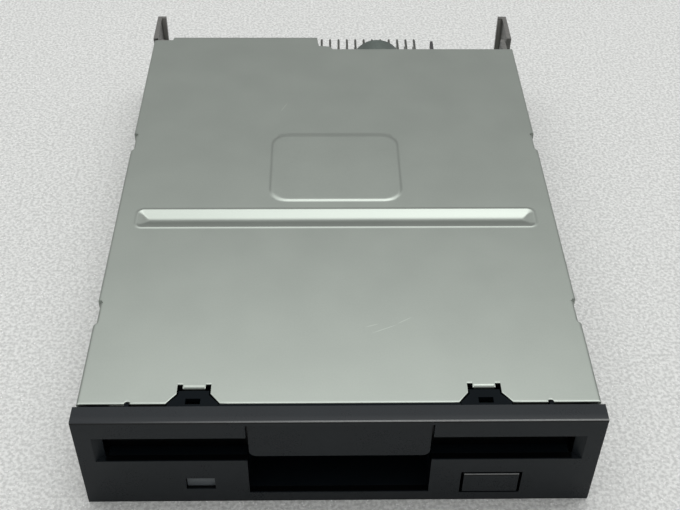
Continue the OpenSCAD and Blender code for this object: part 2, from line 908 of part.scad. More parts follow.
// On each side: lip of the slot, ear for the flap, hook over the floor, latch tongue and nub
module bezel_side_details() {
    inner = bezel_wall - eps;
    root = bezel_t - tongue_hook;
    rise = cover_top + tongue_rise;
    block([recess_w / 2, inner, slot_low - lip_t], [slot_w / 2, bezel_t, slot_low]);
    block([flap_ear_in, inner, flap_axis_z - flap_ear_drop],
        [flap_ear_in + flap_ear_t, cover_front - seat_gap, drive_h - bezel_wall + eps]);
    block([half_w - hook_in, inner, floor_t],
        [half_w - hook_in + hook_w, bezel_t + hook_reach, floor_t + lip_t]);
    block([tongue_x - tongue_root, root, cover_low], [tongue_x + tongue_root, cover_front, rise]);
    translate([tongue_x, cover_front, cover_low]) linear_extrude(rise - cover_low)
        polygon(tongue_outline(0));
    block([nub_x - nub_r, root, cover_low], [nub_x + nub_r, cover_front - nub_r, rise]);
    translate([nub_x, cover_front - nub_r, cover_low]) cylinder(r = nub_r, h = rise - cover_low);
}

// Sleeve behind an opening of the front wall
module bezel_collar(x, z, w, h, back) {
    wall = button_gap + collar_wall;
    block([x - w / 2 - wall, bezel_wall - eps, z - h / 2 - wall],
        [x + w / 2 + wall, back, z + h / 2 + wall]);
}

// Everything that is cut out of the bezel
module bezel_openings() {
    slot_x = slot_w / 2;
    translate([0, 0, slot_low]) linear_extrude(slot_high - slot_low) polygon([
        [-slot_x - slot_flare, -eps], [slot_x + slot_flare, -eps],
        [slot_x, bezel_wall + eps], [-slot_x, bezel_wall + eps]]);
    block([-recess_w / 2, -1, recess_low], [recess_w / 2, bezel_wall + eps, recess_high]);
    opening(button_x, button_z, button_w, button_h, button_gap);
    opening(lens_x, lens_z, lens_w, lens_h, seat_gap);
    both_sides() {
        bar_x(flap_ear_in - eps, flap_ear_in + flap_ear_t + eps, flap_axis_y, flap_axis_z,
            trunnion_r + bore_gap);
        translate([tongue_x, cover_front + tongue_hole_y, cover_low - eps])
            linear_extrude(cover_t + 1) square(tongue_hole, center = true);
    }
}

// A rectangular opening through the front wall and its sleeve
module opening(x, z, w, h, gap) block([x - w / 2 - gap, -1, z - h / 2 - gap],
    [x + w / 2 + gap, 2 * bezel_t, z + h / 2 + gap]);

module led_lens() color("#55595a") {
    w = lens_w / 2;
    h = lens_h / 2;
    back = bezel_t + lens_flange_t;
    block([lens_x - w, lens_sink, lens_z - h], [lens_x + w, back, lens_z + h]);
    block([lens_x - w - lens_flange, bezel_t, lens_z - h - lens_flange],
        [lens_x + w + lens_flange, back, lens_z + h + lens_flange]);
}

module eject_button() color("#2b2e30") difference() {
    half = [button_w / 2 - button_wall, button_h / 2 - button_wall];
    union() {
        difference() {
            button_body(button_l + button_proud);
            block([button_x - half.x, button_wall, button_z - half.y],
                [button_x + half.x, 2 * button_l, button_z + half.y]);
        }
        block([arm_x, stem_front, stem_low],
            [arm_x + stem_w, arm_y + slider_t + stem_tail, stem_low + stem_h]);
    }
    block([arm_x - eps, arm_y - bore_gap, arm_low - bore_gap],
        [arm_x + stem_w + eps, arm_y + slider_t + bore_gap, stem_low + stem_h + eps]);
}

// Button with a bevelled upper edge
module button_body(length) translate([button_x - button_w / 2, -button_proud, button_z - button_h / 2])
    rotate([90, 0, 90]) linear_extrude(button_w) polygon([
        [0, 0], [length, 0], [length, button_h], [button_bevel, button_h], [0, button_h - button_bevel]]);

module dust_flap() color("#24272a") difference() {
    trunnion = flap_ear_in + flap_ear_t - slot_gap;
    union() {
        block([-flap_w / 2, flap_y, flap_low], [flap_w / 2, flap_y + flap_t, flap_axis_z]);
        translate([0, flap_y + eps, 0]) rotate([90, 0, 0]) linear_extrude(flap_y - flap_boss_y)
            polygon(flap_boss_outline());
        bar_x(-flap_w / 2, flap_w / 2, flap_axis_y, flap_axis_z, knuckle_r);
        bar_x(-trunnion, trunnion, flap_axis_y, flap_axis_z, trunnion_r);
    }
    difference() {
        block([flap_spring_x - flap_spring_l, 0, flap_axis_z - flap_spring_room],
            [flap_spring_x, bezel_t + knuckle_r, drive_h]);
        bar_x(flap_spring_x - flap_spring_l - 1, flap_spring_x + 1, flap_axis_y, flap_axis_z, trunnion_r);
    }
}

// Face of the flap in the finger recess, with round lower corners
function flap_boss_outline() = let (
    half = recess_w / 2 - flap_boss_gap, top = drive_h - bezel_wall - flap_boss_drop, steps = 6) concat(
    [[half, top], [-half, top]],
    [for (k = [0 : steps]) let (a = 180 + 90 * k / steps)
        [-half + flap_boss_r * (1 + cos(a)), flap_low + flap_boss_r * (1 + sin(a))]],
    [for (k = [0 : steps]) let (a = 270 + 90 * k / steps)
        [half - flap_boss_r * (1 - cos(a)), flap_low + flap_boss_r * (1 + sin(a))]]);

module flap_spring() color("#b9bcc0") difference() {
    start = flap_spring_x - flap_spring_l + slot_gap;
    bore = trunnion_r + flap_spring_play;
    bar_x(start, flap_spring_x - slot_gap, flap_axis_y, flap_axis_z, bore + flap_spring_wall);
    bar_x(start - 1, flap_spring_x + 1, flap_axis_y, flap_axis_z, bore);
}

// Loading mechanism

module eject_slider() color("#b4b8b6") difference() {
    union() {
        block([-slider_out, slider_plate_front, slider_low], [slider_out, slider_back, slider_top]);
        both_sides() {
            block([slider_in, slider_front, slider_skirt_low], [slider_out, slider_back, slider_top]);
            block([spring_x - lug_w / 2, spring_back, slider_top - eps],
                [spring_x + lug_w / 2, spring_back + slider_t, spring_z + lug_over]);
        }
        block([slider_in, arm_y, arm_low], [slider_out, arm_y + arm_root, slider_skirt_low + eps]);
        block([arm_x, arm_y, arm_low], [slider_out, arm_y + slider_t, arm_high]);
    }
    block([-slider_bay_w / 2, slider_bay_y, slider_low - 1],
        [slider_bay_w / 2, slider_back + 1, slider_top + 1]);
    pad(0, slider_plate_front + slider_window_set, slider_low - 1, slider_top + 1, slider_window,
        slider_window_corner);
    for (y = [pin_front_y, pin_rear_y]) cam_slot(y);
}

// Sloping slot in both skirts that carries a guide pin down as the slider comes forward
module cam_slot(y) {
    run = [eject_stroke, -holder_drop];
    slope = atan2(run.y, run.x);
    wide = 3 * slider_t;
    for (side = [-1, 1]) translate([side * (slider_in + slider_out) / 2, y, pin_z]) {
        rotate([slope, 0, 0]) translate([-wide / 2, 0, -cam_slot_r]) cube([wide, norm(run), 2 * cam_slot_r]);
        for (f = [0, 1]) translate([0, f * run.x, f * run.y]) rotate([0, 90, 0])
            cylinder(r = cam_slot_r, h = wide, center = true);
    }
}

module disk_holder() color("#c3c7c4") difference() {
    union() {
        block([-holder_out, holder_front, holder_roof], [holder_out, holder_back, holder_top]);
        both_sides() {
            block([holder_in, holder_front, lip_low], [holder_out, holder_back, holder_top]);
            block([holder_in - lip_w, holder_front, lip_low], [holder_out, holder_back, lip_top]);
        }
    }
    block([-head_bay_w / 2, head_bay_y, holder_roof - 1], [head_bay_w / 2, holder_back + 1, holder_top + 1]);
    translate([0, spindle_y - hub_hole_set, holder_roof - 1]) cylinder(r = hub_hole_r, h = holder_t + 2);
    both_sides() for (y = [pin_front_y, pin_rear_y])
        bar_x(holder_in - 1, holder_out + 1, y, pin_z, pin_r - pin_neck);
}

module holder_pins() color("#d0d2d0") both_sides() for (y = [pin_front_y, pin_rear_y]) {
    bar_x(holder_out, wall_out - slot_gap, y, pin_z, pin_r);
    bar_x(holder_in, holder_out + eps, y, pin_z, pin_r - pin_neck);
}

// A return spring between its hook on the chassis and its lug on the slider
module return_spring(side) color("#b9bcc0") {
    bar_y(side * spring_x, spring_front, spring_back - spring_tail, spring_z, spring_r);
    bar_y(side * spring_x, spring_front - spring_hook + chassis_t, spring_back, spring_z, spring_wire);
}
module return_spring_left() return_spring(-1);
module return_spring_right() return_spring(1);

module shutter_lever() color("#c9c3a8") translate([lever_x, lever_y, 0]) difference() {
    union() {
        translate([0, 0, lever_low]) cylinder(r = lever_eye_r, h = lever_t);
        rotate([0, 0, lever_rest]) {
            translate([0, 0, lever_low]) linear_extrude(lever_t) polygon([
                [0, -lever_root / 2], [lever_l, -lever_tip / 2],
                [lever_l, lever_tip / 2], [0, lever_root / 2]]);
            translate([lever_l, 0, lever_low]) cylinder(r = lever_tip / 2, h = lever_t);
            translate([lever_l, 0, lip_top + lever_pin_over])
                cylinder(r = lever_pin_r, h = lever_low - lip_top - lever_pin_over + eps);
        }
    }
    translate([0, 0, lever_low - 1]) cylinder(r = lever_post_r + bore_gap, h = lever_t + 2);
}

module lever_post() color("#d0d2d0") translate([lever_x, lever_y, 0]) {
    neck = lever_low - post_neck;
    cap = lever_top + seat_gap;
    translate([0, 0, floor_t]) cylinder(r = post_foot_r, h = neck - floor_t);
    translate([0, 0, neck - eps]) cylinder(r = lever_post_r, h = cap - neck + 2 * eps);
    translate([0, 0, cap]) cylinder(r = post_cap_r, h = post_cap_t);
}

module lever_spring() color("#b9bcc0")
    translate([lever_x, lever_y, lever_low - post_neck + seat_gap]) difference() {
        cylinder(r = lever_spring_r, h = lever_spring_l);
        translate([0, 0, -1]) cylinder(r = lever_post_r + seat_gap, h = lever_spring_l + 2);
    }

module disk_rests() color("#d0d2d0") both_sides() for (y = [rest_front, disk_back - rest_set])
    translate([rest_x, y, 0]) {
        translate([0, 0, floor_t]) cylinder(r = rest_r, h = rest_h - floor_t - rest_pad_h);
        translate([0, 0, rest_h - rest_pad_h - eps])
            cylinder(r1 = rest_pad_r, r2 = rest_tip_r, h = rest_pad_h + eps);
    }

// Spindle motor

module motor_board() color("#2f5a3c") difference() {
    back = spindle_y + motor_set;
    shoulder = motor_waist - motor_corner.x;
    tongue = [lens_x - lamp_tongue, lens_x + lamp_tongue];
    translate([0, 0, motor_board_low]) linear_extrude(motor_board_t) polygon([
        [-wing_x, wing_front], [tongue[0], wing_front], [tongue[0], lamp_tongue_y],
        [tongue[1], lamp_tongue_y], [tongue[1], wing_front], [wing_x, wing_front], [wing_x, wing_back],
        [motor_waist, wing_back], [motor_waist, back - motor_corner.y], [shoulder, back],
        [-shoulder, back], [-motor_waist, back - motor_corner.y], [-motor_waist, wing_back],
        [-wing_x, wing_back]]);
    translate([0, spindle_y, 0]) cylinder(r = bush_r + bore_gap, h = board_top);
    for (p = motor_bosses) translate([p.x, p.y, 0]) cylinder(r = motor_hole_r, h = board_top);
}

module motor_screws() color("#c8c8c4") for (p = motor_bosses) translate([p.x, p.y, 0])
    pan_screw(motor_board_top, motor_board_top - run_gap);

module bearing_bush() color("#b08d4a") translate([0, spindle_y, 0]) difference() {
    low = floor_t + bush_gap;
    union() {
        translate([0, 0, low]) cylinder(r = bush_r, h = cup_top - bush_drop - low);
        translate([0, 0, motor_board_top]) cylinder(r = flange_r, h = flange_t);
    }
    cylinder(r = shaft_r + bore_gap, h = cup_top);
}

module stator_core() color("#8a8c8f") translate([0, spindle_y, core_low]) {
    root = core_in + core_ring - coil_over / 2;
    difference() {
        cylinder(r = core_in + core_ring, h = core_t);
        translate([0, 0, -1]) cylinder(r = core_in, h = core_t + 2);
    }
    for (k = [1 : pole_count]) rotate([0, 0, 360 * k / pole_count]) {
        translate([root, -tooth_w / 2, 0]) cube([core_out - tooth_in - root, tooth_w, core_t]);
        intersection() {
            difference() {
                cylinder(r = core_out, h = core_t);
                translate([0, 0, -1]) cylinder(r = core_out - shoe_t, h = core_t + 2);
            }
            translate([core_out - 3 * shoe_t, -shoe_w / 2, 0]) cube([4 * shoe_t, shoe_w, core_t]);
        }
    }
}

module stator_coils() color("#b5652c") translate([0, spindle_y, core_low]) for (k = [1 : pole_count])
    rotate([0, 0, 360 * k / pole_count]) difference() {
        start = core_in + core_ring + coil_in / 2;
        translate([start, -coil_w / 2, -coil_over])
            cube([core_out - coil_out - start, coil_w, core_t + 2 * coil_over]);
        translate([core_in, -tooth_w / 2 - bore_gap, -bore_gap])
            cube([core_out, tooth_w + 2 * bore_gap, core_t + 2 * bore_gap]);
    }

module rotor_cup() color("#c6c9c8") translate([0, spindle_y, 0]) difference() {
    translate([0, 0, cup_low]) cylinder(r = rotor_r, h = cup_h);
    translate([0, 0, cup_low - 1]) cylinder(r = rotor_r - cup_t, h = cup_h + 1 - cup_t);
    cylinder(r = hub_neck_r + bore_gap, h = 2 * cup_top);
    for (k = [1 : vent_count]) rotate([0, 0, 360 * (k + 0.5) / vent_count])
        translate([hub_r + vent_set, 0, cup_top - 2 * cup_t]) cylinder(r = vent_r, h = 4 * cup_t);
}

module rotor_magnet() color("#3c3d40") translate([0, spindle_y, cup_low + magnet_gap]) difference() {
    cylinder(r = magnet_out, h = cup_h - cup_t - magnet_gap);
    translate([0, 0, -1]) cylinder(r = magnet_out - magnet_t, h = 2 * cup_h);
}

module spindle_hub() color("#d3d5d4") translate([0, spindle_y, 0]) difference() {
    union() {
        translate([0, 0, cup_top]) cylinder(r = hub_r, h = hub_top - cup_top);
        translate([0, 0, cup_top - hub_neck_l]) cylinder(r = hub_neck_r, h = hub_neck_l + seat_gap);
    }
    cylinder(r = shaft_r + bore_gap / 2, h = 2 * hub_top);
    translate([0, 0, hub_top - hub_groove]) difference() {
        cylinder(r = hub_r - hub_ring, h = 1);
        cylinder(r = hub_core, h = 1);
    }
    translate([hub_r - drive_pin_in, 0, hub_top - drive_pin_seat])
        cylinder(r = drive_pin_r + bore_gap / 2, h = drive_pin_l);
}

module spindle_shaft() color("#e2e4e4") translate([0, spindle_y, 0]) {
    low = floor_t + shaft_gap;
    shoulder = shaft_top - shaft_gap;
    translate([0, 0, low]) cylinder(r = shaft_r, h = shoulder - low);
    translate([0, 0, shoulder]) cylinder(r1 = shaft_r, r2 = shaft_r - shaft_round, h = shaft_gap);
}

module drive_pin() color("#e2e4e4")
    translate([hub_r - drive_pin_in, spindle_y, hub_top - drive_pin_seat])
        cylinder(r = drive_pin_r, h = drive_pin_l);

// Heads

module head_carriage() color("#6f7274") difference() {
    union() {
        carriage_plate();
        block([rod_x - sleeve_w / 2, tower_y - sleeve_l, carriage_low],
            [tower_in + eps, tower_back, carriage_top]);
        block([tower_in, tower_y, carriage_low], [ear_out, tower_back, arm_under - run_gap]);
        for (x = [tower_in, ear_in])
            block([x, tower_y, carriage_low], [x + ear_out - ear_in, tower_back, hinge_z + hinge_wall]);
        carriage_shoe();
        block([-flag_w / 2, tower_back - eps, flag_low],
            [flag_w / 2, tower_back + flag_l, flag_low + flag_h]);
    }
    bar_y(rod_x, tower_y - sleeve_l - 1, tower_back + 1, rod_z, rod_r + bore_gap);
    bar_x(tower_in - 1, ear_out + 1, hinge_y, hinge_z, hinge_r + bore_gap);
    pad(0, carriage_window_y, carriage_low - 1, arm_under, carriage_window, window_corner);
}

// Flat of the carriage, from under the lower head back to the tower
module carriage_plate() translate([0, 0, carriage_low])
    linear_extrude(carriage_top - carriage_seat - carriage_low) polygon([
        [-carriage_nose.x / 2, head_y - carriage_nose.y], [carriage_nose.x / 2, head_y - carriage_nose.y],
        [carriage_waist.x / 2, head_y + carriage_waist.y], [tower_out, tower_y], [tower_out, tower_back],
        [tower_in, tower_back], [tower_in, tower_y], [-carriage_waist.x / 2, head_y + carriage_waist.y]]);

// Shoe that runs along the edge of the stepper bracket
module carriage_shoe() {
    front = tower_back - shoe_l;
    low = rail_low - slot_gap - shoe_wall;
    high = rail_low + bracket_t + slot_gap;
    for (z = [low, high])
        block([ear_out - eps, front, z], [bracket_in + shoe_in, tower_back, z + shoe_wall]);
    block([ear_out - eps, front, low], [bracket_in - run_gap, tower_back, high + shoe_wall]);
}

module lower_head() color("#3a3c40") {
    seat = carriage_top - carriage_seat;
    block([-head_w / 2, head_y - head_w / 2, seat],
        [head_w / 2, head_y + head_w / 2, media_z - lower_head_gap]);
    block([-gimbal.x / 2, head_y - gimbal_front, seat],
        [gimbal.x / 2, head_y - gimbal_front + gimbal.y, seat + gimbal.z]);
}

// Turns the upper arm and what it carries up from the loaded pose
module lifted() translate([0, hinge_y, hinge_z]) rotate([-arm_lift, 0, 0])
    translate([0, -hinge_y, -hinge_z]) children();

module upper_arm() color("#777a7c") lifted() difference() {
    union() {
        arm_plate();
        bar_x(-arm_neck_w / 2, arm_neck_w / 2, hinge_y, hinge_z, knuckle_out);
        for (s = [-1, 1]) block([s * arm_rib_x - arm_rib[0] / 2, arm_wide - 1, arm_under],
            [s * arm_rib_x + arm_rib[0] / 2, tower_y - arm_rib_set, arm_under + arm_rib[1]]);
    }
    bar_x(-arm_w, arm_w, hinge_y, hinge_z, hinge_r + bore_gap);
    pad(0, arm_window_y, arm_under - 1, arm_under + arm_plate_t + 1, arm_window, window_corner);
}

// Flat of the upper arm, in the loaded pose
module arm_plate() {
    tip = arm_tip_w / 2;
    side = arm_w / 2;
    neck = arm_neck_w / 2;
    front = head_y - arm_tip;
    back = tower_y - arm_shoulder;
    step = tower_y - arm_neck_set;
    translate([0, 0, arm_under]) linear_extrude(arm_plate_t) polygon([
        [-tip, front], [tip, front], [side, arm_wide], [side, back], [neck, step], [neck, hinge_y],
        [-neck, hinge_y], [-neck, step], [-side, back], [-side, arm_wide]]);
}

module upper_head() color("#3a3c40") lifted()
    block([-head_w / 2, head_y - head_w / 2, media_z + head_gap],
        [head_w / 2, head_y + head_w / 2, arm_under]);

module arm_pin() color("#d0d2d0") bar_x(tower_in - pin_end, ear_out + pin_end, hinge_y, hinge_z, hinge_r);

module guide_rod() color("#e2e4e4") bar_y(rod_x, rod_front + rod_end, rod_back - rod_end, rod_z, rod_r);

module rod_blocks() color("#8c8f8e") difference() {
    for (y = [rod_front, rod_back - rod_block_l])
        block([rod_x - rod_block_w / 2, y, floor_t],
            [rod_x + rod_block_w / 2, y + rod_block_l, rod_z + rod_r + rod_block_over]);
    bar_y(rod_x, rod_front - 1, rod_back + 1, rod_z, rod_r + bore_gap);
}

module lead_screw() color("#d7d9d8") {
    bar_y(screw_x, bracket_front - journal_end, thread_front + eps, screw_z, journal_r);
    translate([screw_x, thread_front, screw_z]) rotate([-90, 0, 0]) lead_thread(thread_back - thread_front);
    bar_y(screw_x, thread_back - eps, can_front + can_l - tail_end, screw_z, tail_r);
}

// Round single-start thread: an off-centre circle turned along the axis
module lead_thread(length) {
    turn = 360 * length / screw_lead;
    phase = -360 * (follower_y - thread_front) / screw_lead;
    rotate([0, 0, phase])
        linear_extrude(height = length, twist = -turn, slices = ceil(turn / thread_step), $fn = thread_sides)
            translate([thread_ecc, 0]) circle(r = screw_r - thread_ecc);
}

module screw_follower() color("#d0d2d0") {
    tip = screw_x - screw_r;
    bar_x(ear_out, tip - follower_gap, follower_y, screw_z, follower_r);
    bar_x(tip - follower_gap - eps, tip + follower_in, follower_y, screw_z, follower_tip_r);
}

module stepper_can() color("#9b9fa0") difference() {
    union() {
        bar_y(screw_x, can_front, can_front + can_l, screw_z, can_r);
        bar_y(screw_x, can_front - bracket_t, can_front + 1, screw_z, can_spigot_r);
        block([sensor_half + run_gap, can_front + terminal_end, board_top + terminal_gap],
            [screw_x - can_r + terminal_in, can_front + can_l - terminal_end, screw_z]);
    }
    bar_y(screw_x, can_front - 2 * bracket_t, can_front + can_l - tail_end + slot_gap, screw_z,
        tail_r + bore_gap);
}

module stepper_bracket() color("#aeb2b0") difference() {
    rail_top = rail_low + bracket_t;
    cheek = can_r + bracket_cheek;
    foot = [bracket_front + foot_set, bracket_front + foot_set + foot_l];
    union() {
        block([bracket_in, bracket_front, rail_low], [bracket_out, can_front, rail_top]);
        block([bracket_in, bracket_front, rail_low],
            [screw_x + bracket_end_w, bracket_front + bracket_t, screw_z + bracket_end_over]);
        block([screw_x - cheek, can_front - bracket_t, rail_low],
            [screw_x + cheek, can_front, screw_z + can_r]);
        block([bracket_out, foot[0], floor_t], [bracket_out + bracket_t, foot[1], rail_top]);
        block([bracket_out, foot[0], floor_t], [bracket_out + foot_w, foot[1], floor_t + bracket_t]);
    }
    bar_y(screw_x, bracket_front - 1, bracket_front + bracket_t + 1, screw_z, journal_r + bore_gap);
    bar_y(screw_x, can_front - bracket_t - 1, can_front + 1, screw_z, can_spigot_r + bore_gap);
    for (y = bracket_screws) translate([foot_screw_x, y, 0])
        cylinder(r = screw_hole_r, h = floor_t + 2 * bracket_t);
}

module bracket_screws_set() color("#c8c8c4") for (y = bracket_screws) translate([foot_screw_x, y, 0])
    pan_screw(floor_t + bracket_t, bracket_t - foot_shank, foot_head_r);

// Electronics

module main_board() color("#2c6144") difference() {
    translate([0, 0, board_low]) linear_extrude(board_t) polygon([
        [-board_half, board_front], [notch_left, board_front], [notch_left, notch_back],
        [notch_right, notch_back], [notch_right, board_front + board_corner],
        [board_half, board_front + board_corner], [board_half, board_back], [-board_half, board_back]]);
    for (p = board_posts) translate([p.x, p.y, 0]) cylinder(r = screw_hole_r + post_play, h = 2 * board_top);
    for (c = [0 : header_columns - 1], row = [0, 1]) leg_hole(column_x(c), leg_y(row));
    for (c = [0 : power_count - 1]) leg_hole(power_pin_x(c), header_back - header_t - power_leg_gap);
}

// Hole in the board for one leg of a header pin
module leg_hole(x, y) translate([x, y, 0]) cylinder(r = leg_hole_r, h = 2 * board_top, $fn = 16);

module board_post_set() color("#c9b26a") for (p = board_posts) translate([p.x, p.y, 0]) difference() {
    translate([0, 0, floor_t]) cylinder(r = post_r, h = board_low - floor_t);
    translate([0, 0, floor_t + post_bore_low]) cylinder(r = screw_hole_r, h = board_top);
}

module board_screws() color("#c8c8c4") for (p = board_posts) translate([p.x, p.y, 0])
    pan_screw(board_top, board_t + board_screw_l);

// A chip centred on a point of the board
module chip(x, size) translate([x - size.x / 2, chip_y - size.y / 2, board_top]) cube(size);

module controller_chip() color("#232528") chip(controller_x, controller_size);
module driver_chip() color("#232528") chip(power_x, driver_size);

module crystal_can() color("#cfd1d0")
    pad(crystal_x, chip_y, board_top, board_top + crystal_size.z, crystal_size, crystal_corner);

module track_sensor() color("#2a2c2e") difference() {
    front = rod_back + sensor_gap;
    block([-sensor_half, front, board_top], [sensor_half, front + sensor_l, board_top + sensor_h]);
    block([-sensor_slot / 2, front - 1, board_top + sensor_floor],
        [sensor_slot / 2, front + sensor_l + 1, board_top + sensor_h + 1]);
}

module signal_header() color("#2a2c2e") difference() {
    block([header_x - header_l / 2, header_back - header_t, board_top],
        [header_x + header_l / 2, header_back, row_z(1) + header_pitch / 2]);
    for (c = [0 : header_columns - 1], row = [0, 1])
        pin_bar(column_x(c), header_back - header_t - 1, header_back + 1, row_z(row),
            header_pin_w + bore_gap);
}

module signal_pins() color("#cdbb86") for (c = [0 : header_columns - 1], row = [0, 1])
    angled_pin(column_x(c), leg_y(row), pin_tip, row_z(row));

// A square pin that comes up from the board and runs back to its tip
module angled_pin(x, y, tip, z) {
    w = header_pin_w;
    pin_bar(x, y - w / 2, tip, z, w);
    block([x - w / 2, y - w / 2, board_low - leg_below], [x + w / 2, y + w / 2, z + w / 2]);
}

module power_header() color("#2a2c2e") difference() {
    half = power_count * power_pitch / 2 + power_side;
    front = header_back - header_t;
    top = power_z + power_over;
    union() {
        block([power_x - half, front, board_top], [power_x + half, header_back, top]);
        block([power_x - half, header_back - eps, board_top + power_tray[0]],
            [power_x + half, power_tip - 1, board_top + power_tray[0] + power_tray[1]]);
        block([power_x - power_key_x, front, top - seat_gap],
            [power_x - power_key_x + power_key[0], power_tip - power_key[2], top + power_key[1]]);
    }
    for (c = [0 : power_count - 1])
        pin_bar(power_pin_x(c), front - 1, header_back + 1, power_z, header_pin_w + bore_gap);
}

module power_pins() color("#d3d3cd") for (c = [0 : power_count - 1])
    angled_pin(power_pin_x(c), header_back - header_t - power_leg_gap, power_tip, power_z);

module lamp() color("#9fb36a")
    translate([lens_x - lamp_size.x / 2, lamp_y, motor_board_top]) cube(lamp_size);

module switch_bodies() color("#d8d6cc") for (x = switches) difference() {
    translate([x - switch_size.x / 2, switch_y - switch_size.y / 2, motor_board_top]) cube(switch_size);
    translate([x, switch_y, motor_board_top + switch_bore])
        cylinder(r = plunger_r + bore_gap, h = 2 * switch_size.z);
}

module plunger(x) color("#7c3b34") translate([x, switch_y, 0]) {
    low = motor_board_top + plunger_low;
    shoulder = plunger_top - plunger_tip;
    translate([0, 0, low]) cylinder(r = plunger_r, h = shoulder - low);
    translate([0, 0, shoulder]) cylinder(r1 = plunger_r, r2 = plunger_r - plunger_round, h = plunger_tip);
}
module plunger_protect() plunger(switches[0]);
module plunger_density() plunger(switches[1]);
module plunger_disk() plunger(switches[2]);

placed() chassis();
placed() top_cover();
placed() front_bezel();
placed() led_lens();
placed() eject_button();
placed() dust_flap();
placed() flap_spring();
placed() eject_slider();
placed() disk_holder();
placed() holder_pins();
placed() return_spring_left();
placed() return_spring_right();
placed() shutter_lever();
placed() lever_post();
placed() lever_spring();
placed() disk_rests();
placed() motor_board();
placed() motor_screws();
placed() bearing_bush();
placed() stator_core();
placed() stator_coils();
placed() rotor_cup();
placed() rotor_magnet();
placed() spindle_hub();
placed() spindle_shaft();
placed() drive_pin();
placed() head_carriage();
placed() lower_head();
placed() upper_arm();
placed() upper_head();
placed() arm_pin();
placed() guide_rod();
placed() rod_blocks();
placed() lead_screw();
placed() screw_follower();
placed() stepper_can();
placed() stepper_bracket();
placed() bracket_screws_set();
placed() main_board();
placed() board_post_set();
placed() board_screws();
placed() controller_chip();
placed() driver_chip();
placed() crystal_can();
placed() track_sensor();
placed() signal_header();
placed() signal_pins();
placed() power_header();
placed() power_pins();
placed() lamp();
placed() switch_bodies();
placed() plunger_protect();
placed() plunger_density();
placed() plunger_disk();
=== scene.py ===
"""Looks of a slimline disk drive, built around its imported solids."""
import json
import logging
import math
from dataclasses import dataclass
from enum import Enum
from typing import Callable, Iterator, Sequence

import bmesh
import bpy
from mathutils import Matrix, Vector


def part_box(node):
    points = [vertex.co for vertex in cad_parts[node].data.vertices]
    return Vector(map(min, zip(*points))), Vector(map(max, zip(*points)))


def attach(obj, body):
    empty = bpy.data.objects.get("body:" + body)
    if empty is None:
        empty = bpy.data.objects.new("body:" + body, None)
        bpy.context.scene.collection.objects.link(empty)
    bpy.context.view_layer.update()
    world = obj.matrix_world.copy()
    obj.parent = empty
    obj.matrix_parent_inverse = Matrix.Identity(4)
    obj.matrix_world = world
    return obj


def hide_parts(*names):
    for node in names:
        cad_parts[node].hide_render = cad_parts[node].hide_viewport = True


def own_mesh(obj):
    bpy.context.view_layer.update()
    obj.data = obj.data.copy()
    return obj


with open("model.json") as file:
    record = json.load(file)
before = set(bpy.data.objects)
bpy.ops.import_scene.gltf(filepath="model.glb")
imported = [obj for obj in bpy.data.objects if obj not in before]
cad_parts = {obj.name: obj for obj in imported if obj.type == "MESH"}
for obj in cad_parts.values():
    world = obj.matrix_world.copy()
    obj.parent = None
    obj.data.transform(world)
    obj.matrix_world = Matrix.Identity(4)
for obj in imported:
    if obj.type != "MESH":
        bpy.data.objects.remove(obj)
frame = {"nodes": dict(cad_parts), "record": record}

LOG = logging.getLogger("drive")
MM = 0.001
FACE_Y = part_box("front_bezel")[0].y / MM
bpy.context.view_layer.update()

Point = tuple[float, float, float]
Flat = tuple[float, float]
Colour = tuple[float, float, float]
Window = tuple[Flat, Flat]

# Tolerances in millimetres: for a place, and for points that are one in a solid or in the sheet
NEAR = 0.01
SOLID_WELD = 0.004
SHEET_WELD = 0.002

# Sides of a bar, and the least angle in degrees of an edge that is rounded
BAR_SIDES = 20
ROUND_FROM = 40


def at(x: float, y: float, z: float) -> Vector:
    """Point in metres from millimetres, with y measured back from the bezel's face."""
    return Vector((x * MM, (y + FACE_Y) * MM, z * MM))


def node_box(node: str) -> tuple[Point, Point]:
    """Box of a CAD node in millimetres, with y measured back from the bezel's face."""
    low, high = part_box(node)
    return ((low.x / MM, low.y / MM - FACE_Y, low.z / MM), (high.x / MM, high.y / MM - FACE_Y, high.z / MM))


def islands(node: str) -> list[tuple[Point, Point]]:
    """Boxes of a CAD node's separate solids.

    Args:
        node: name of the CAD node.

    Returns:
        Lowest and highest corner of each solid in millimetres.
    """
    bm = bmesh.new()
    bm.from_mesh(frame["nodes"][node].data)
    bmesh.ops.remove_doubles(bm, verts=bm.verts, dist=SOLID_WELD * MM)
    left, found = set(bm.verts), []
    while left:
        first = left.pop()
        group, queue = [first], [first]
        while queue:
            for edge in queue.pop().link_edges:
                for vert in edge.verts:
                    if vert in left:
                        left.remove(vert)
                        group.append(vert)
                        queue.append(vert)
        shift = Vector((0, FACE_Y, 0))
        spots = [vert.co / MM - shift for vert in group]
        found.append((tuple(min(s[k] for s in spots) for k in range(3)),
                      tuple(max(s[k] for s in spots) for k in range(3))))
    bm.free()
    return sorted(found)


# Node trees


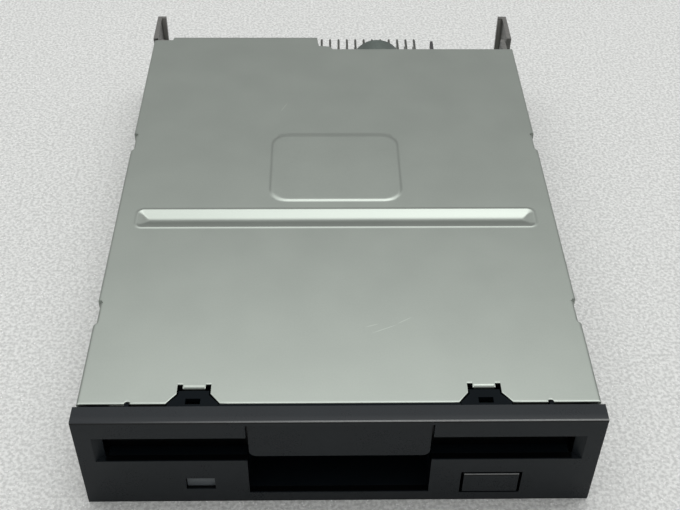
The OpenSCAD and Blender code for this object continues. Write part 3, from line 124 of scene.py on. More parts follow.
class Shade:
    """A node socket whose operators add Math nodes."""

    def __init__(self, tree: "Tree", socket: bpy.types.NodeSocket) -> None:
        """Keeps the socket and the tree it belongs to."""
        self.tree = tree
        self.socket = socket

    def maths(self, operation: str, *values: "Shade | float") -> "Shade":
        """Result of a Math node on some values."""
        return self.tree.node("ShaderNodeMath", {"operation": operation}, dict(enumerate(values)))

    def __add__(self, other: "Shade | float") -> "Shade":
        """Sum."""
        return self.maths("ADD", self, other)

    def __radd__(self, other: float) -> "Shade":
        """Sum with a number in front."""
        return self.maths("ADD", other, self)

    def __sub__(self, other: "Shade | float") -> "Shade":
        """Difference."""
        return self.maths("SUBTRACT", self, other)

    def __rsub__(self, other: float) -> "Shade":
        """Difference from a number."""
        return self.maths("SUBTRACT", other, self)

    def __mul__(self, other: "Shade | float") -> "Shade":
        """Product."""
        return self.maths("MULTIPLY", self, other)

    def __rmul__(self, other: float) -> "Shade":
        """Product with a number in front."""
        return self.maths("MULTIPLY", other, self)

    def __abs__(self) -> "Shade":
        """Size without the sign."""
        return self.maths("ABSOLUTE", self)

    def band(self, low: float, high: float) -> "Shade":
        """Smooth step from 0 at one value to 1 at another."""
        return self.tree.node("ShaderNodeMapRange", {"interpolation_type": "SMOOTHSTEP"},
                              {0: self, 1: low, 2: high})

    def window(self, rise: Flat, fall: Flat) -> "Shade":
        """Mask that rises over one pair of values and falls over another."""
        return self.band(*rise) * (1 - self.band(*fall))


class Tree:
    """A node tree that grows one node at a time."""

    def __init__(self, tree: bpy.types.NodeTree) -> None:
        """Keeps the tree."""
        self.tree = tree

    def node(self, kind: str, settings: dict | None = None, sockets: dict | None = None,
             output: int | str = 0) -> Shade:
        """Adds a node.

        Args:
            kind: type of the node.
            settings: properties that are set first; stops are those of a colour ramp.
            sockets: values or links of its inputs, by name or number.
            output: the output that is handed back.

        Returns:
            The wrapped output.
        """
        node = self.tree.nodes.new(kind)
        for key, value in (settings or {}).items():
            if key == "stops":
                self.ramp(node.color_ramp, value)
            else:
                setattr(node, key, value)
        for key, value in (sockets or {}).items():
            self.feed(node.inputs[key], value)
        return Shade(self, node.outputs[output])

    def ramp(self, ramp: bpy.types.ColorRamp, stops: Sequence[Flat]) -> None:
        """Sets the grey stops of a ramp.

        Args:
            ramp: the ramp.
            stops: place and level of each stop.
        """
        while len(ramp.elements) < len(stops):
            ramp.elements.new(1.0)
        for element, (place, level) in zip(ramp.elements, stops):
            element.position = place
            element.color = (level, level, level, 1)

    def feed(self, socket: bpy.types.NodeSocket, value: "Shade | float | Sequence[float]") -> None:
        """Links or sets a socket.

        Args:
            socket: the input.
            value: what it is linked to or set to.
        """
        if isinstance(value, Shade):
            self.tree.links.new(value.socket, socket)
        else:
            socket.default_value = value


class Paint(Tree):
    """A material under construction."""

    def __init__(self, name: str) -> None:
        """Makes an empty node material.

        Args:
            name: name of the material.
        """
        self.material = bpy.data.materials.new(name)
        self.material.use_nodes = True
        super().__init__(self.material.node_tree)
        self.shader = next(n for n in self.tree.nodes if n.type == "BSDF_PRINCIPLED")

    def place(self, scale: Point = (1, 1, 1)) -> Shade:
        """Object coordinates, stretched."""
        where = self.node("ShaderNodeTexCoord", output="Object")
        return self.node("ShaderNodeMapping", {}, {"Vector": where, "Scale": scale})

    def noise(self, scale: float, detail: float = 2, stretch: Point = (1, 1, 1)) -> Shade:
        """Noise on Object coordinates, about 0 to 1."""
        return self.node("ShaderNodeTexNoise", {}, {
            "Vector": self.place(stretch), "Scale": scale, "Detail": detail})

    def cells(self, scale: float) -> Shade:
        """Distance to the nearest of some scattered points, in cells."""
        return self.node("ShaderNodeTexVoronoi", {}, {"Vector": self.place(), "Scale": scale})

    def axis(self, name: str) -> Shade:
        """One Object coordinate in metres."""
        where = self.node("ShaderNodeTexCoord", output="Object")
        return self.node("ShaderNodeSeparateXYZ", {}, {0: where}, name)

    def spot(self) -> tuple[Shade, Shade, Shade]:
        """Object coordinates in millimetres, with y measured back from the bezel's face."""
        x, y, z = (self.axis(name) * (1 / MM) for name in "XYZ")
        return x, y - FACE_Y, z

    def mix(self, factor: "Shade | float", a: "Shade | Colour", b: "Shade | Colour") -> Shade:
        """Mix of two colours."""
        full = [c if isinstance(c, Shade) else (*c, 1) for c in (a, b)]
        return self.node("ShaderNodeMix", {"data_type": "RGBA"}, {0: factor, 6: full[0], 7: full[1]}, 2)

    def bump(self, height: Shade, distance: float, strength: float = 1.0) -> None:
        """Feeds the shader's normal from a height.

        Args:
            height: the height, about 0 to 1.
            distance: size of the relief in metres.
            strength: share of the effect.
        """
        normal = self.node("ShaderNodeBump", {}, {
            "Height": height, "Distance": distance, "Strength": strength})
        self.feed(self.shader.inputs["Normal"], normal)

    def set(self, **sockets: "Shade | float | Sequence[float]") -> None:
        """Sets the shader's sockets, named with underscores for spaces."""
        for key, value in sockets.items():
            self.feed(self.shader.inputs[key.replace("_", " ")], value)


class Weave(Tree):
    """A Geometry Nodes tree with named sizes that ends in a plain mesh."""

    def __init__(self, name: str) -> None:
        """Makes a tree with a geometry input and output.

        Args:
            name: name of the tree.
        """
        super().__init__(bpy.data.node_groups.new(name, "GeometryNodeTree"))
        self.values: dict[str, object] = {}
        for way in ("INPUT", "OUTPUT"):
            self.tree.interface.new_socket("Geometry", in_out=way, socket_type="NodeSocketGeometry")
        self.source = self.tree.nodes.new("NodeGroupInput")
        self.sink = self.tree.nodes.new("NodeGroupOutput")

    def given(self) -> Shade:
        """The geometry that comes in."""
        return Shade(self, self.source.outputs["Geometry"])

    def size(self, name: str, kind: str, value: object) -> Shade:
        """Adds a named input and keeps its value.

        Args:
            name: name of the input.
            kind: Float, Int, Object or Material.
            value: what the modifier is given.

        Returns:
            The wrapped input.
        """
        socket = self.tree.interface.new_socket(name, in_out="INPUT", socket_type="NodeSocket" + kind)
        self.values[socket.identifier] = value
        return Shade(self, self.source.outputs[name])

    def make(self, name: str, base: bpy.types.Mesh, result: Shade,
             finish: bpy.types.Material) -> bpy.types.Object:
        """Ends the tree and turns what it makes of a mesh into a plain piece.

        Args:
            name: name of the piece.
            base: the points or paths that the tree starts from.
            result: the geometry that the tree ends with.
            finish: material of the piece.

        Returns:
            The piece, with no modifier left on it.
        """
        whole = self.node("GeometryNodeRealizeInstances", {}, {"Geometry": result})
        dressed = self.node("GeometryNodeSetMaterial", {}, {
            "Geometry": whole, "Material": self.size("Finish", "Material", finish)})
        self.tree.links.new(dressed.socket, self.sink.inputs["Geometry"])
        obj = bpy.data.objects.new(name, base)
        bpy.context.scene.collection.objects.link(obj)
        maker = obj.modifiers.new("maker", "NODES")
        maker.node_group = self.tree
        for identifier, value in self.values.items():
            maker[identifier] = value
        bpy.context.view_layer.update()
        seen = obj.evaluated_get(bpy.context.evaluated_depsgraph_get())
        mesh = bpy.data.meshes.new_from_object(seen)
        obj.modifiers.clear()
        obj.data = mesh
        return obj


# Finishes


class Surface(Enum):
    """Kinds of surface detail."""

    ROLLED_SHEET = "rolled sheet"
    BRUSHED_SHEET = "brushed sheet"
    MOULDED = "moulded"
    TURNED = "turned"
    BOARD = "board"
    CLEAR = "clear"


# Where a finish changes, in millimetres: a mask rises over one pair and falls over another.
# LIP_DEPTH counts from the lip's front face, and the other depths from the bezel's face.
# The next three lines place the painted light on the front faces of the rear tabs' lips.
LIP_DEPTH: Window = ((-0.2, -0.02), (0.05, 0.2))
LIP_HEIGHT: Window = ((9.0, 9.5), (24.5, 24.75))
LIP_SIDE: Flat = (49.6, 49.8)
# The next five lines place the painted shade on the bezel: in the hollow below the slot and behind the front
# wall.
HOLLOW_DEPTH: Flat = (0.12, 0.32)
HOLLOW_TOP: Flat = (13.48, 13.65)
WALL_DEPTH: Flat = (1.0, 1.7)
INNER_HEIGHT: Window = ((0.02, 0.2), (24.92, 25.15))
INNER_SIDE: Flat = (45.4, 45.9)
# The next lines, to the end of this block, place painted highlights on the upper front edges of bezel and
# button, and a painted dark line under them.
BEZEL_HIGHLIGHT_HEIGHT: Flat = (25.22, 25.28)
BEZEL_HIGHLIGHT_DEPTH: Flat = (0.26, 0.38)
BEZEL_HIGHLIGHT_SIDE: Flat = (-50.0, 4.0)
BUTTON_SIDE: Window = ((24.6, 24.9), (35.7, 36.0))
BUTTON_HIGHLIGHT_HEIGHT: Window = ((8.44, 8.5), (8.7, 8.74))
BUTTON_HIGHLIGHT_DEPTH: Flat = (0.06, 0.16)
SHADE_LINE_DEPTH: Flat = (0.1, 0.2)
BEZEL_SHADE_LINE_HEIGHT: Window = ((24.78, 24.84), (25.2, 25.24))
BUTTON_SHADE_LINE_HEIGHT: Window = ((8.1, 8.15), (8.4, 8.46))

# How the two colours of a finish mix
PATCH_SCALE = 90
PATCH_DETAIL = 4
PATCH_SHARE = 0.7
FINE_SHARE = 0.5
BLEND_SHIFT = 0.1
BLEND_BAND: Flat = (0.2, 0.8)

# Streaks of the chassis sheet, and the painted light on the front faces of its rear tabs' lips
STREAK_SCALE = 900
STREAK_STRETCH: Point = (1, 1, 0.05)
STREAK_BAND: Flat = (0.35, 0.75)
STREAK_SHARE = 0.15
STREAK_DARK = 0.45
STREAK_ROUGH = 0.08
LIP_LIGHT_SCALE = 700
LIP_LIGHT_STRETCH: Point = (1, 1, 0.04)
LIP_LIGHT_BAND: Flat = (0.3, 0.7)
LIP_LIGHT_DARK: Colour = (0.17, 0.165, 0.15)
LIP_LIGHT_BRIGHT: Colour = (0.50, 0.485, 0.455)

# Tracks of the boards, and the clear plastics
LANE_SHARE = 0.55
LANE_LIGHT = 1.9
LANE_FINE = 0.1
CLEAR_SHARE = 0.15
CLEAR_IOR = 1.49

# Painted highlights on the upper front edges of bezel and button, and the painted dark line under them
EDGE_HIGHLIGHT: Colour = (0.42, 0.43, 0.42)
HIGHLIGHT_EVEN = 0.55
HIGHLIGHT_GRAIN = 0.6
BEZEL_HIGHLIGHT = 0.46
BUTTON_HIGHLIGHT = 0.6
SHADE_LINE_SHARE = 0.9

# Handling marks on the cover: middle x and y, half length, and angle in degrees
SCRATCHES: tuple[tuple[float, float, float, float], ...] = (
    (9.5, 24.6, 3.4, 24.0), (13.8, 27.0, 2.2, 31.0), (7.0, 25.6, 1.6, 18.0), (-13.0, 104.0, 2.4, 66.0))
SCRATCH_FADE = 0.3
SCRATCH_WIDTH: Flat = (0.03, 0.14)
SCRATCH_SHARE = 0.35
SCRATCH_LIGHT = 1.7
SCRATCH_ROUGH = 0.1


def scaled(colour: Colour, share: float) -> Colour:
    """Colour times a number."""
    return tuple(c * share for c in colour)


@dataclass(frozen=True)
class Finish:
    """One finish: two colours that mix in patches, a roughness range and a fine relief."""

    name: str
    surface: Surface
    dark: Colour
    light: Colour
    metal: float
    rough: Flat
    grain: float = 3000
    relief: float = 0.004
    gloss: float = 0.5
    # Share of the dark colour that stays as painted shade behind the bezel's face; 1 paints none.
    inner: float = 1.0
    marked: bool = False
    # Depth of the rear tabs' lips, whose front faces get painted light.
    lip_y: float = 0.0

    def material(self) -> bpy.types.Material:
        """Builds the node material.

        Returns:
            The material, with its colour, roughness and relief.
        """
        paint = Paint(self.name)
        patches = paint.noise(PATCH_SCALE, PATCH_DETAIL)
        fine = paint.noise(self.grain)
        blend = (patches * PATCH_SHARE + fine * FINE_SHARE - BLEND_SHIFT).band(*BLEND_BAND)
        colour = paint.mix(blend, self.dark, self.light)
        rough = self.rough[0] + (self.rough[1] - self.rough[0]) * blend
        height = fine
        paint.set(Metallic=self.metal, Specular_IOR_Level=self.gloss)
        if self.marked:
            scratch = self.scratches(paint)
            colour = paint.mix(scratch * SCRATCH_SHARE, colour, scaled(self.light, SCRATCH_LIGHT))
            rough = rough + scratch * SCRATCH_ROUGH
        elif self.surface is Surface.BRUSHED_SHEET:
            streak = paint.noise(STREAK_SCALE, stretch=STREAK_STRETCH).band(*STREAK_BAND)
            colour = paint.mix(streak * STREAK_SHARE, colour, scaled(self.dark, STREAK_DARK))
            rough = rough + streak * STREAK_ROUGH
            # Painted light: the lips' front faces get a lighter, non-metal streaked colour.
            lip = self.rear_lip(paint)
            colour = paint.mix(lip, colour, self.painted_lip_light(paint))
            paint.set(Metallic=self.metal * (1 - lip))
        elif self.surface is Surface.BOARD:
            lanes = self.lanes(paint)
            colour = paint.mix(lanes * LANE_SHARE, colour, scaled(self.light, LANE_LIGHT))
            height = lanes + fine * LANE_FINE
        elif self.surface is Surface.CLEAR:
            paint.set(Transmission_Weight=CLEAR_SHARE, IOR=CLEAR_IOR)
        elif self.inner < 1:
            # Painted shade behind the bezel's face: its dark colour, scaled down.
            shadow = scaled(self.dark, self.inner)
            # Painted highlights on the upper front edges, and the painted dark line under them.
            bright, shade_line = self.painted_edge_light(paint)
            colour = paint.mix(self.painted_inner_shade(paint), colour, shadow)
            colour = paint.mix(bright * (HIGHLIGHT_EVEN + HIGHLIGHT_GRAIN * fine), colour, EDGE_HIGHLIGHT)
            colour = paint.mix(shade_line * SHADE_LINE_SHARE, colour, shadow)
        paint.set(Base_Color=colour, Roughness=rough)
        paint.bump(height, self.relief * MM)
        return paint.material

    def lanes(self, paint: Paint) -> Shade:
        """Mask of the tracks under a board's lacquer.

        Args:
            paint: the material under construction.

        Returns:
            The mask.
        """
        return paint.node("ShaderNodeTexBrick", {"offset": 0.5, "squash": 0.6, "squash_frequency": 3}, {
            "Vector": paint.place(), "Scale": 260, "Mortar Size": 0.03, "Brick Width": 1.6,
            "Row Height": 0.35}, 1)

    def painted_lip_light(self, paint: Paint) -> Shade:
        """Painted light on the front faces of the rear tabs' lips: a lighter streaked colour."""
        streak = paint.noise(LIP_LIGHT_SCALE, stretch=LIP_LIGHT_STRETCH).band(*LIP_LIGHT_BAND)
        return paint.mix(streak, LIP_LIGHT_DARK, LIP_LIGHT_BRIGHT)

    def rear_lip(self, paint: Paint) -> Shade:
        """Mask of the front faces of the lips on the rear tabs, where light is painted.

        Args:
            paint: the material under construction.

        Returns:
            The mask.
        """
        x, depth, z = paint.spot()
        plane = (depth - self.lip_y).window(*LIP_DEPTH)
        return plane * z.window(*LIP_HEIGHT) * (1 - abs(x).band(*LIP_SIDE))

    def painted_inner_shade(self, paint: Paint) -> Shade:
        """Mask of the painted shade: places behind the bezel's front wall and in the hollow below the slot,
        away from its outer sides.

        Args:
            paint: the material under construction.

        Returns:
            The mask.
        """
        x, depth, z = paint.spot()
        hollow = depth.band(*HOLLOW_DEPTH) * (1 - z.band(*HOLLOW_TOP))
        deep = hollow.maths("MAXIMUM", hollow, depth.band(*WALL_DEPTH))
        return deep * z.window(*INNER_HEIGHT) * (1 - abs(x).band(*INNER_SIDE))

    def painted_edge_light(self, paint: Paint) -> tuple[Shade, Shade]:
        """Masks of the painted highlights on the upper front edges of bezel and button, and of the painted
        dark line under them.

        Args:
            paint: the material under construction.

        Returns:
            The painted highlights and the painted dark line.
        """
        x, depth, z = paint.spot()
        across = x.window(*BUTTON_SIDE)
        bezel = z.band(*BEZEL_HIGHLIGHT_HEIGHT) * (1 - depth.band(*BEZEL_HIGHLIGHT_DEPTH)) * x.band(*BEZEL_HIGHLIGHT_SIDE)
        button = z.window(*BUTTON_HIGHLIGHT_HEIGHT) * (1 - depth.band(*BUTTON_HIGHLIGHT_DEPTH)) * across
        lines = z.window(*BEZEL_SHADE_LINE_HEIGHT) + z.window(*BUTTON_SHADE_LINE_HEIGHT) * across
        return bezel * BEZEL_HIGHLIGHT + button * BUTTON_HIGHLIGHT, (1 - depth.band(*SHADE_LINE_DEPTH)) * lines

    def scratches(self, paint: Paint) -> Shade:
        """Mask of a few short handling marks on the sheet.

        Args:
            paint: the material under construction.

        Returns:
            The mask.
        """
        x, depth, _ = paint.spot()
        total: Shade | float = 0.0
        for middle, place, half, angle in SCRATCHES:
            c, s = math.cos(math.radians(angle)), math.sin(math.radians(angle))
            dx, dy = x - middle, depth - place
            along, across = dx * c + dy * s, dy * c - dx * s
            mark = (1 - abs(along).band(SCRATCH_FADE * half, half)) * (1 - abs(across).band(*SCRATCH_WIDTH))
            total = mark + total
        return total


FINISHES: tuple[Finish, ...] = (
    Finish("chassis_steel", Surface.BRUSHED_SHEET, (0.132, 0.131, 0.124), (0.196, 0.194, 0.184),
           0.9, (0.36, 0.50), 1800, 0.004, lip_y=148.6),
    Finish("cover_steel", Surface.ROLLED_SHEET, (0.280, 0.306, 0.280), (0.299, 0.326, 0.298),
           1.0, (0.275, 0.305), 2600, 0.001, marked=True),
    # The bezel plastic's inner share of 0.1 paints shade behind its face.
    Finish("bezel_plastic", Surface.MOULDED, (0.0108, 0.0138, 0.0164), (0.0158, 0.0196, 0.0226),
           0.0, (0.26, 0.33), 4200, 0.003, gloss=0.17, inner=0.1),
    # A darker, duller copy of the bezel plastic for the parts behind its face: painted shade.
    Finish("bezel_plastic_shaded", Surface.MOULDED, (0.0028, 0.0046, 0.0062), (0.0044, 0.0068, 0.0088),
           0.0, (0.42, 0.50), 4200, 0.003, gloss=0.04),
    Finish("lens_plastic", Surface.CLEAR, (0.105, 0.119, 0.130), (0.152, 0.170, 0.184),
           0.0, (0.26, 0.34), 2400, 0.002),
    Finish("mechanism_steel", Surface.ROLLED_SHEET, (0.36, 0.37, 0.36), (0.52, 0.53, 0.52),
           1.0, (0.28, 0.42), 2200, 0.003),
    Finish("bright_steel", Surface.TURNED, (0.52, 0.52, 0.51), (0.66, 0.66, 0.64),
           1.0, (0.16, 0.28), 2600, 0.002),
    Finish("spring_steel", Surface.TURNED, (0.34, 0.34, 0.35), (0.50, 0.50, 0.50),
           1.0, (0.24, 0.34), 2600, 0.002),
    Finish("lever_plastic", Surface.MOULDED, (0.30, 0.29, 0.26), (0.38, 0.37, 0.33),
           0.0, (0.42, 0.52), 3000, 0.006),
    Finish("board_green", Surface.BOARD, (0.008, 0.060, 0.030), (0.012, 0.085, 0.042),
           0.0, (0.30, 0.42), 1500, 0.02),
    Finish("bronze", Surface.TURNED, (0.42, 0.27, 0.12), (0.56, 0.38, 0.18),
           1.0, (0.30, 0.42), 2400, 0.003),
    Finish("core_steel", Surface.ROLLED_SHEET, (0.105, 0.128, 0.117), (0.150, 0.177, 0.162),
           0.9, (0.32, 0.44), 1600, 0.003),
    Finish("copper_wire", Surface.TURNED, (0.45, 0.16, 0.06), (0.62, 0.26, 0.10),
           1.0, (0.22, 0.32), 2600, 0.004),
    Finish("magnet", Surface.MOULDED, (0.030, 0.029, 0.028), (0.055, 0.052, 0.050),
           0.2, (0.55, 0.70), 3600, 0.010),
    Finish("carriage_plastic", Surface.MOULDED, (0.055, 0.055, 0.055), (0.085, 0.085, 0.082),
           0.0, (0.42, 0.55), 3000, 0.008),
    Finish("head_ferrite", Surface.TURNED, (0.10, 0.09, 0.08), (0.17, 0.15, 0.14),
           0.1, (0.18, 0.28), 2600, 0.002),
    Finish("black_plastic", Surface.MOULDED, (0.012, 0.012, 0.013), (0.028, 0.028, 0.029),
           0.0, (0.45, 0.60), 5200, 0.008),
    Finish("pin_metal", Surface.TURNED, (0.085, 0.089, 0.081), (0.145, 0.149, 0.134),
           1.0, (0.24, 0.36), 2600, 0.002),
    Finish("switch_plastic", Surface.MOULDED, (0.040, 0.042, 0.045), (0.065, 0.068, 0.070),
           0.0, (0.42, 0.55), 3200, 0.008),
    Finish("plunger_plastic", Surface.MOULDED, (0.55, 0.53, 0.48), (0.66, 0.64, 0.58),
           0.0, (0.36, 0.48), 3000, 0.005),
    Finish("lamp_resin", Surface.CLEAR, (0.10, 0.22, 0.08), (0.14, 0.30, 0.11),
           0.0, (0.18, 0.26), 2200, 0.002),
)


class Palette:
    """All materials, by the record's slot."""

    def __init__(self, finishes: Sequence[Finish]) -> None:
        """Builds the materials."""
        self.materials = {f.name: f.material() for f in finishes}
        self.slot_of = {s["node"]: s["material_slot"] for s in frame["record"]["subparts"]}

    def dress(self, obj: bpy.types.Object, slot: str) -> None:
        """Gives an object one material in all its slots."""
        obj.data.materials.clear()
        obj.data.materials.append(self.materials[slot])

    def dress_solids(self) -> None:
        """Gives each CAD node the finish of its slot."""
        for name, obj in frame["nodes"].items():
            self.dress(obj, self.slot_of[name])


# Meshes


def soft_ramp(t: float, blend: float) -> float:
    """Ramp from 0 at t = 0 to 1 at t = 1 with rounded ends."""
    return 0.5 * (math.hypot(t, blend) - math.hypot(t - 1, blend) + 1)


def inside_depth(x: float, y: float, half_x: float, half_y: float, corner: float) -> float:
    """Distance inwards from the outline of a rectangle with round corners."""
    dx, dy = abs(x) - half_x + corner, abs(y) - half_y + corner
    return corner - math.hypot(max(dx, 0), max(dy, 0)) - min(max(dx, dy), 0)


def spread(low: float, high: float, step: float) -> list[float]:
    """Even values from low to high with about the given step."""
    count = max(1, round((high - low) / step))
    return [low + (high - low) * k / count for k in range(count + 1)]


def tidy_values(values: Sequence[float], gap: float) -> list[float]:
    """Sorted values without near repeats.

    Args:
        values: values in any order.
        gap: least difference that is kept.

    Returns:
        The values that are left.
    """
    out: list[float] = []
    for value in sorted(values):
        if not out or value - out[-1] > gap:
            out.append(value)
    return out


def circle(radius: float, steps: int) -> list[Flat]:
    """Points round a circle."""
    angles = [2 * math.pi * k / steps for k in range(steps)]
    return [(radius * math.cos(a), radius * math.sin(a)) for a in angles]


def quarter(steps: int) -> list[float]:
    """Angles from 0 to a quarter turn in even steps."""
    return [math.pi / 2 * k / steps for k in range(steps + 1)]


class Blank:
    """A mesh under construction, in millimetres from the bezel's face."""

    def __init__(self) -> None:
        """Starts empty."""
        self.bm = bmesh.new()

    def loft(self, rings: Sequence[Sequence[Point]], first: bool = True, last: bool = True) -> list:
        """Skins a row of rings.

        Args:
            rings: rings with the same number of points.
            first: whether the first ring is capped.
            last: whether the last ring is capped.

        Returns:
            The vertices of the last ring.
        """
        rows = [[self.bm.verts.new(at(*p)) for p in ring] for ring in rings]
        for a, b in zip(rows, rows[1:]):
            for k in range(len(a)):
                self.bm.faces.new((a[k - 1], a[k], b[k], b[k - 1]))
        if first:
            self.bm.faces.new(rows[0])
        if last:
            self.bm.faces.new(rows[-1])
        return rows[-1]

    def rod(self, start: float, end: float, y: float, z: float, radius: float, soft: float = 0.1) -> None:
        """A bar along x with soft ends."""
        ends = ((start, radius - soft), (start + soft, radius), (end - soft, radius), (end, radius - soft))
        self.loft([[(x, y + u, z + v) for u, v in circle(r, BAR_SIDES)] for x, r in ends])

    def plate(self, loops: Sequence[Sequence[Flat]], place: Callable[[float, float, int], Point]) -> None:
        """A closed plate between two levels.

        Args:
            loops: its outline, then its holes.
            place: point for two coordinates of the outline and a level of 0 or 1.
        """
        levels = []
        for level in (0, 1):
            rows = [[self.bm.verts.new(at(*place(u, v, level))) for u, v in loop] for loop in loops]
            edges = [self.bm.edges.new((row[k - 1], row[k])) for row in rows for k in range(len(row))]
            bmesh.ops.triangle_fill(self.bm, use_beauty=True, edges=edges)
            levels.append(rows)
        for low, high in zip(*levels):
            for k in range(len(low)):
                self.bm.faces.new((low[k - 1], low[k], high[k], high[k - 1]))

    def cells(self, xs: Sequence[float], ys: Sequence[float], zs: Sequence[float],
              solid: Callable[[float, float, float], bool],
              bend: Callable[[float, float, float], Point] = lambda x, y, z: (x, y, z)) -> None:
        """The skin of the solid cells of a box grid.

        Args:
            xs: grid lines along x.
            ys: grid lines along y.
            zs: grid lines along z.
            solid: whether the cell with a given middle is solid.
            bend: final place of a grid point.
        """
        lines = [sorted(xs), sorted(ys), sorted(zs)]
        verts: dict[tuple[int, ...], bmesh.types.BMVert] = {}

        def corner(*index: int) -> bmesh.types.BMVert:
            """Vertex at a grid point.

            Args:
                index: numbers of the grid lines.

            Returns:
                The vertex, made when first asked for.
            """
            if index not in verts:
                verts[index] = self.bm.verts.new(at(*bend(*(lines[a][i] for a, i in enumerate(index)))))
            return verts[index]

        def filled(cell: Sequence[int]) -> bool:
            """Whether a cell lies in the grid and is solid.

            Args:
                cell: numbers of the cell.

            Returns:
                True for a solid cell.
            """
            if any(not 0 <= i < len(lines[a]) - 1 for a, i in enumerate(cell)):
                return False
            return solid(*((lines[a][i] + lines[a][i + 1]) / 2 for a, i in enumerate(cell)))

        for i in range(len(lines[0]) - 1):
            for j in range(len(lines[1]) - 1):
                for k in range(len(lines[2]) - 1):
                    if not filled((i, j, k)):
                        continue
                    for axis in range(3):
                        u, v = (axis + 1) % 3, (axis + 2) % 3
                        for step in (0, 1):
                            beside = [i, j, k]
                            beside[axis] += 2 * step - 1
                            if filled(beside):
                                continue
                            ring = []
                            for du, dv in ((0, 0), (1, 0), (1, 1), (0, 1)):
                                index = [i, j, k]
                                index[axis] += step
                                index[u] += du
                                index[v] += dv
                                ring.append(corner(*index))
                            self.bm.faces.new(ring if step else ring[::-1])

    def box(self, low: Point, high: Point) -> None:
        """A closed box."""
        self.cells(*((a, b) for a, b in zip(low, high)), lambda x, y, z: True)

    def mesh(self, name: str, angle: float = 35) -> bpy.types.Mesh:
        """Ends as a mesh with outward faces, smooth up to an angle.

        Args:
            name: name of the mesh.
            angle: largest smooth angle in degrees.

        Returns:
            The mesh.
        """
        bmesh.ops.recalc_face_normals(self.bm, faces=self.bm.faces)
        mesh = bpy.data.meshes.new(name)
        self.bm.to_mesh(mesh)
        self.bm.free()
        mesh.shade_smooth()
        mesh.set_sharp_from_angle(angle=math.radians(angle))
        return mesh


@dataclass
class Shop:
    """What every class shares: the palette and the ways to make and seat a piece."""

    palette: Palette

    def seat(self, obj: bpy.types.Object, body: str, slot: str, *nodes: str,
             finish: str = "") -> bpy.types.Object:
        """Dresses a piece, lets it ride and hides the nodes it stands for.

        Args:
            obj: the piece.
            body: the CAD body that it moves with.
            slot: the record's material slot.
            nodes: the CAD nodes that it replaces.
            finish: its finish, where that isn't the slot's own.

        Returns:
            The same piece.
        """
        self.palette.dress(obj, finish or slot)
        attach(obj, body)
        if nodes:
            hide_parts(*nodes)
        LOG.info("%s on %s", obj.name, body)
        return obj

    def piece(self, name: str, mesh: bpy.types.Mesh) -> bpy.types.Object:
        """A new object in the scene.

        Args:
            name: name of the object.
            mesh: its mesh.

        Returns:
            The object.
        """
        obj = bpy.data.objects.new(name, mesh)
        bpy.context.scene.collection.objects.link(obj)
        return obj

    def rounded(self, name: str, blank: Blank, width: float, segments: int = 3,
                share: Callable[[Vector, Vector], float] | None = None) -> bpy.types.Object:
        """A piece with rounded edges.

        Args:
            name: name of the piece.
            blank: its mesh.
            width: size of the rounding in millimetres.
            segments: steps of the rounding.
            share: part of the width for the edge between two points in millimetres.

        Returns:
            The piece, with a live Bevel modifier.
        """
        layer = blank.bm.edges.layers.float.new("bevel_weight_edge")
        shift = Vector((0, FACE_Y, 0))
        for edge in blank.bm.edges:
            if len(edge.link_faces) == 2 and edge.calc_face_angle(0) > math.radians(ROUND_FROM):
                ends = [vert.co / MM - shift for vert in edge.verts]
                edge[layer] = share(*ends) if share else 1.0
        obj = self.piece(name, blank.mesh(name))
        bevel = obj.modifiers.new("edges", "BEVEL")
        bevel.width = width * MM
        bevel.segments = segments
        bevel.limit_method = "WEIGHT"
        bevel.use_clamp_overlap = False
        bevel.harden_normals = True
        return obj

    def wire(self, name: str, paths: Sequence[Sequence[Point]], radius: float, sides: int,
             slot: str) -> bpy.types.Object:
        """Round wire along some paths, swept by Geometry Nodes.

        Args:
            name: name of the piece.
            paths: points of each path.
            radius: radius of the wire in millimetres.
            sides: sides of its section.
            slot: its material slot.

        Returns:
            The piece.
        """
        bm = bmesh.new()
        for path in paths:
            verts = [bm.verts.new(at(*p)) for p in path]
            for pair in zip(verts, verts[1:]):
                bm.edges.new(pair)
        mesh = bpy.data.meshes.new(name)
        bm.to_mesh(mesh)
        bm.free()
        tree = Weave("wound wire")
        line = tree.node("GeometryNodeMeshToCurve", {}, {"Mesh": tree.given()})
        ring = tree.node("GeometryNodeCurvePrimitiveCircle", {}, {
            "Resolution": tree.size("Sides", "Int", sides),
            "Radius": tree.size("Radius", "Float", radius * MM)})
        tube = tree.node("GeometryNodeCurveToMesh", {}, {
            "Curve": line, "Profile Curve": ring, "Fill Caps": True})
        smooth = tree.node("GeometryNodeSetShadeSmooth", {}, {"Geometry": tube, "Shade Smooth": True})
        return tree.make(name, mesh, smooth, self.palette.materials[slot])

    def repeat(self, name: str, shape: bpy.types.Mesh, spots: Sequence[Point], slot: str,
               turns: Sequence[float] | None = None) -> bpy.types.Object:
        """One shape set at many spots by Geometry Nodes.

        Args:
            name: name of the piece.
            shape: the shape, made about the bezel's face point.
            spots: places in millimetres.
            slot: its material slot.
            turns: turn about z at each spot in degrees.

        Returns:
            The piece.
        """
        shape.transform(Matrix.Translation(-at(0, 0, 0)))
        pattern = self.piece(name + ".pattern", shape)
        base = bpy.data.meshes.new(name)
        base.from_pydata([at(*p) for p in spots], [], [])
        turn = base.attributes.new("turn", "FLOAT_VECTOR", "POINT")
        for k, angle in enumerate(turns or [0.0] * len(spots)):
            turn.data[k].vector = (0, 0, math.radians(angle))
        tree = Weave("repeated shape")
        one = tree.node("GeometryNodeObjectInfo", {}, {
            "Object": tree.size("Shape", "Object", pattern)}, "Geometry")
        angle = tree.node("GeometryNodeInputNamedAttribute", {"data_type": "FLOAT_VECTOR"}, {"Name": "turn"})
        many = tree.node("GeometryNodeInstanceOnPoints", {}, {
            "Points": tree.given(), "Instance": one, "Rotation": angle})
        obj = tree.make(name, base, many, self.palette.materials[slot])
        bpy.data.objects.remove(pattern)
        return obj


# Sub-assemblies, with sizes in millimetres and depths measured back from the bezel's face


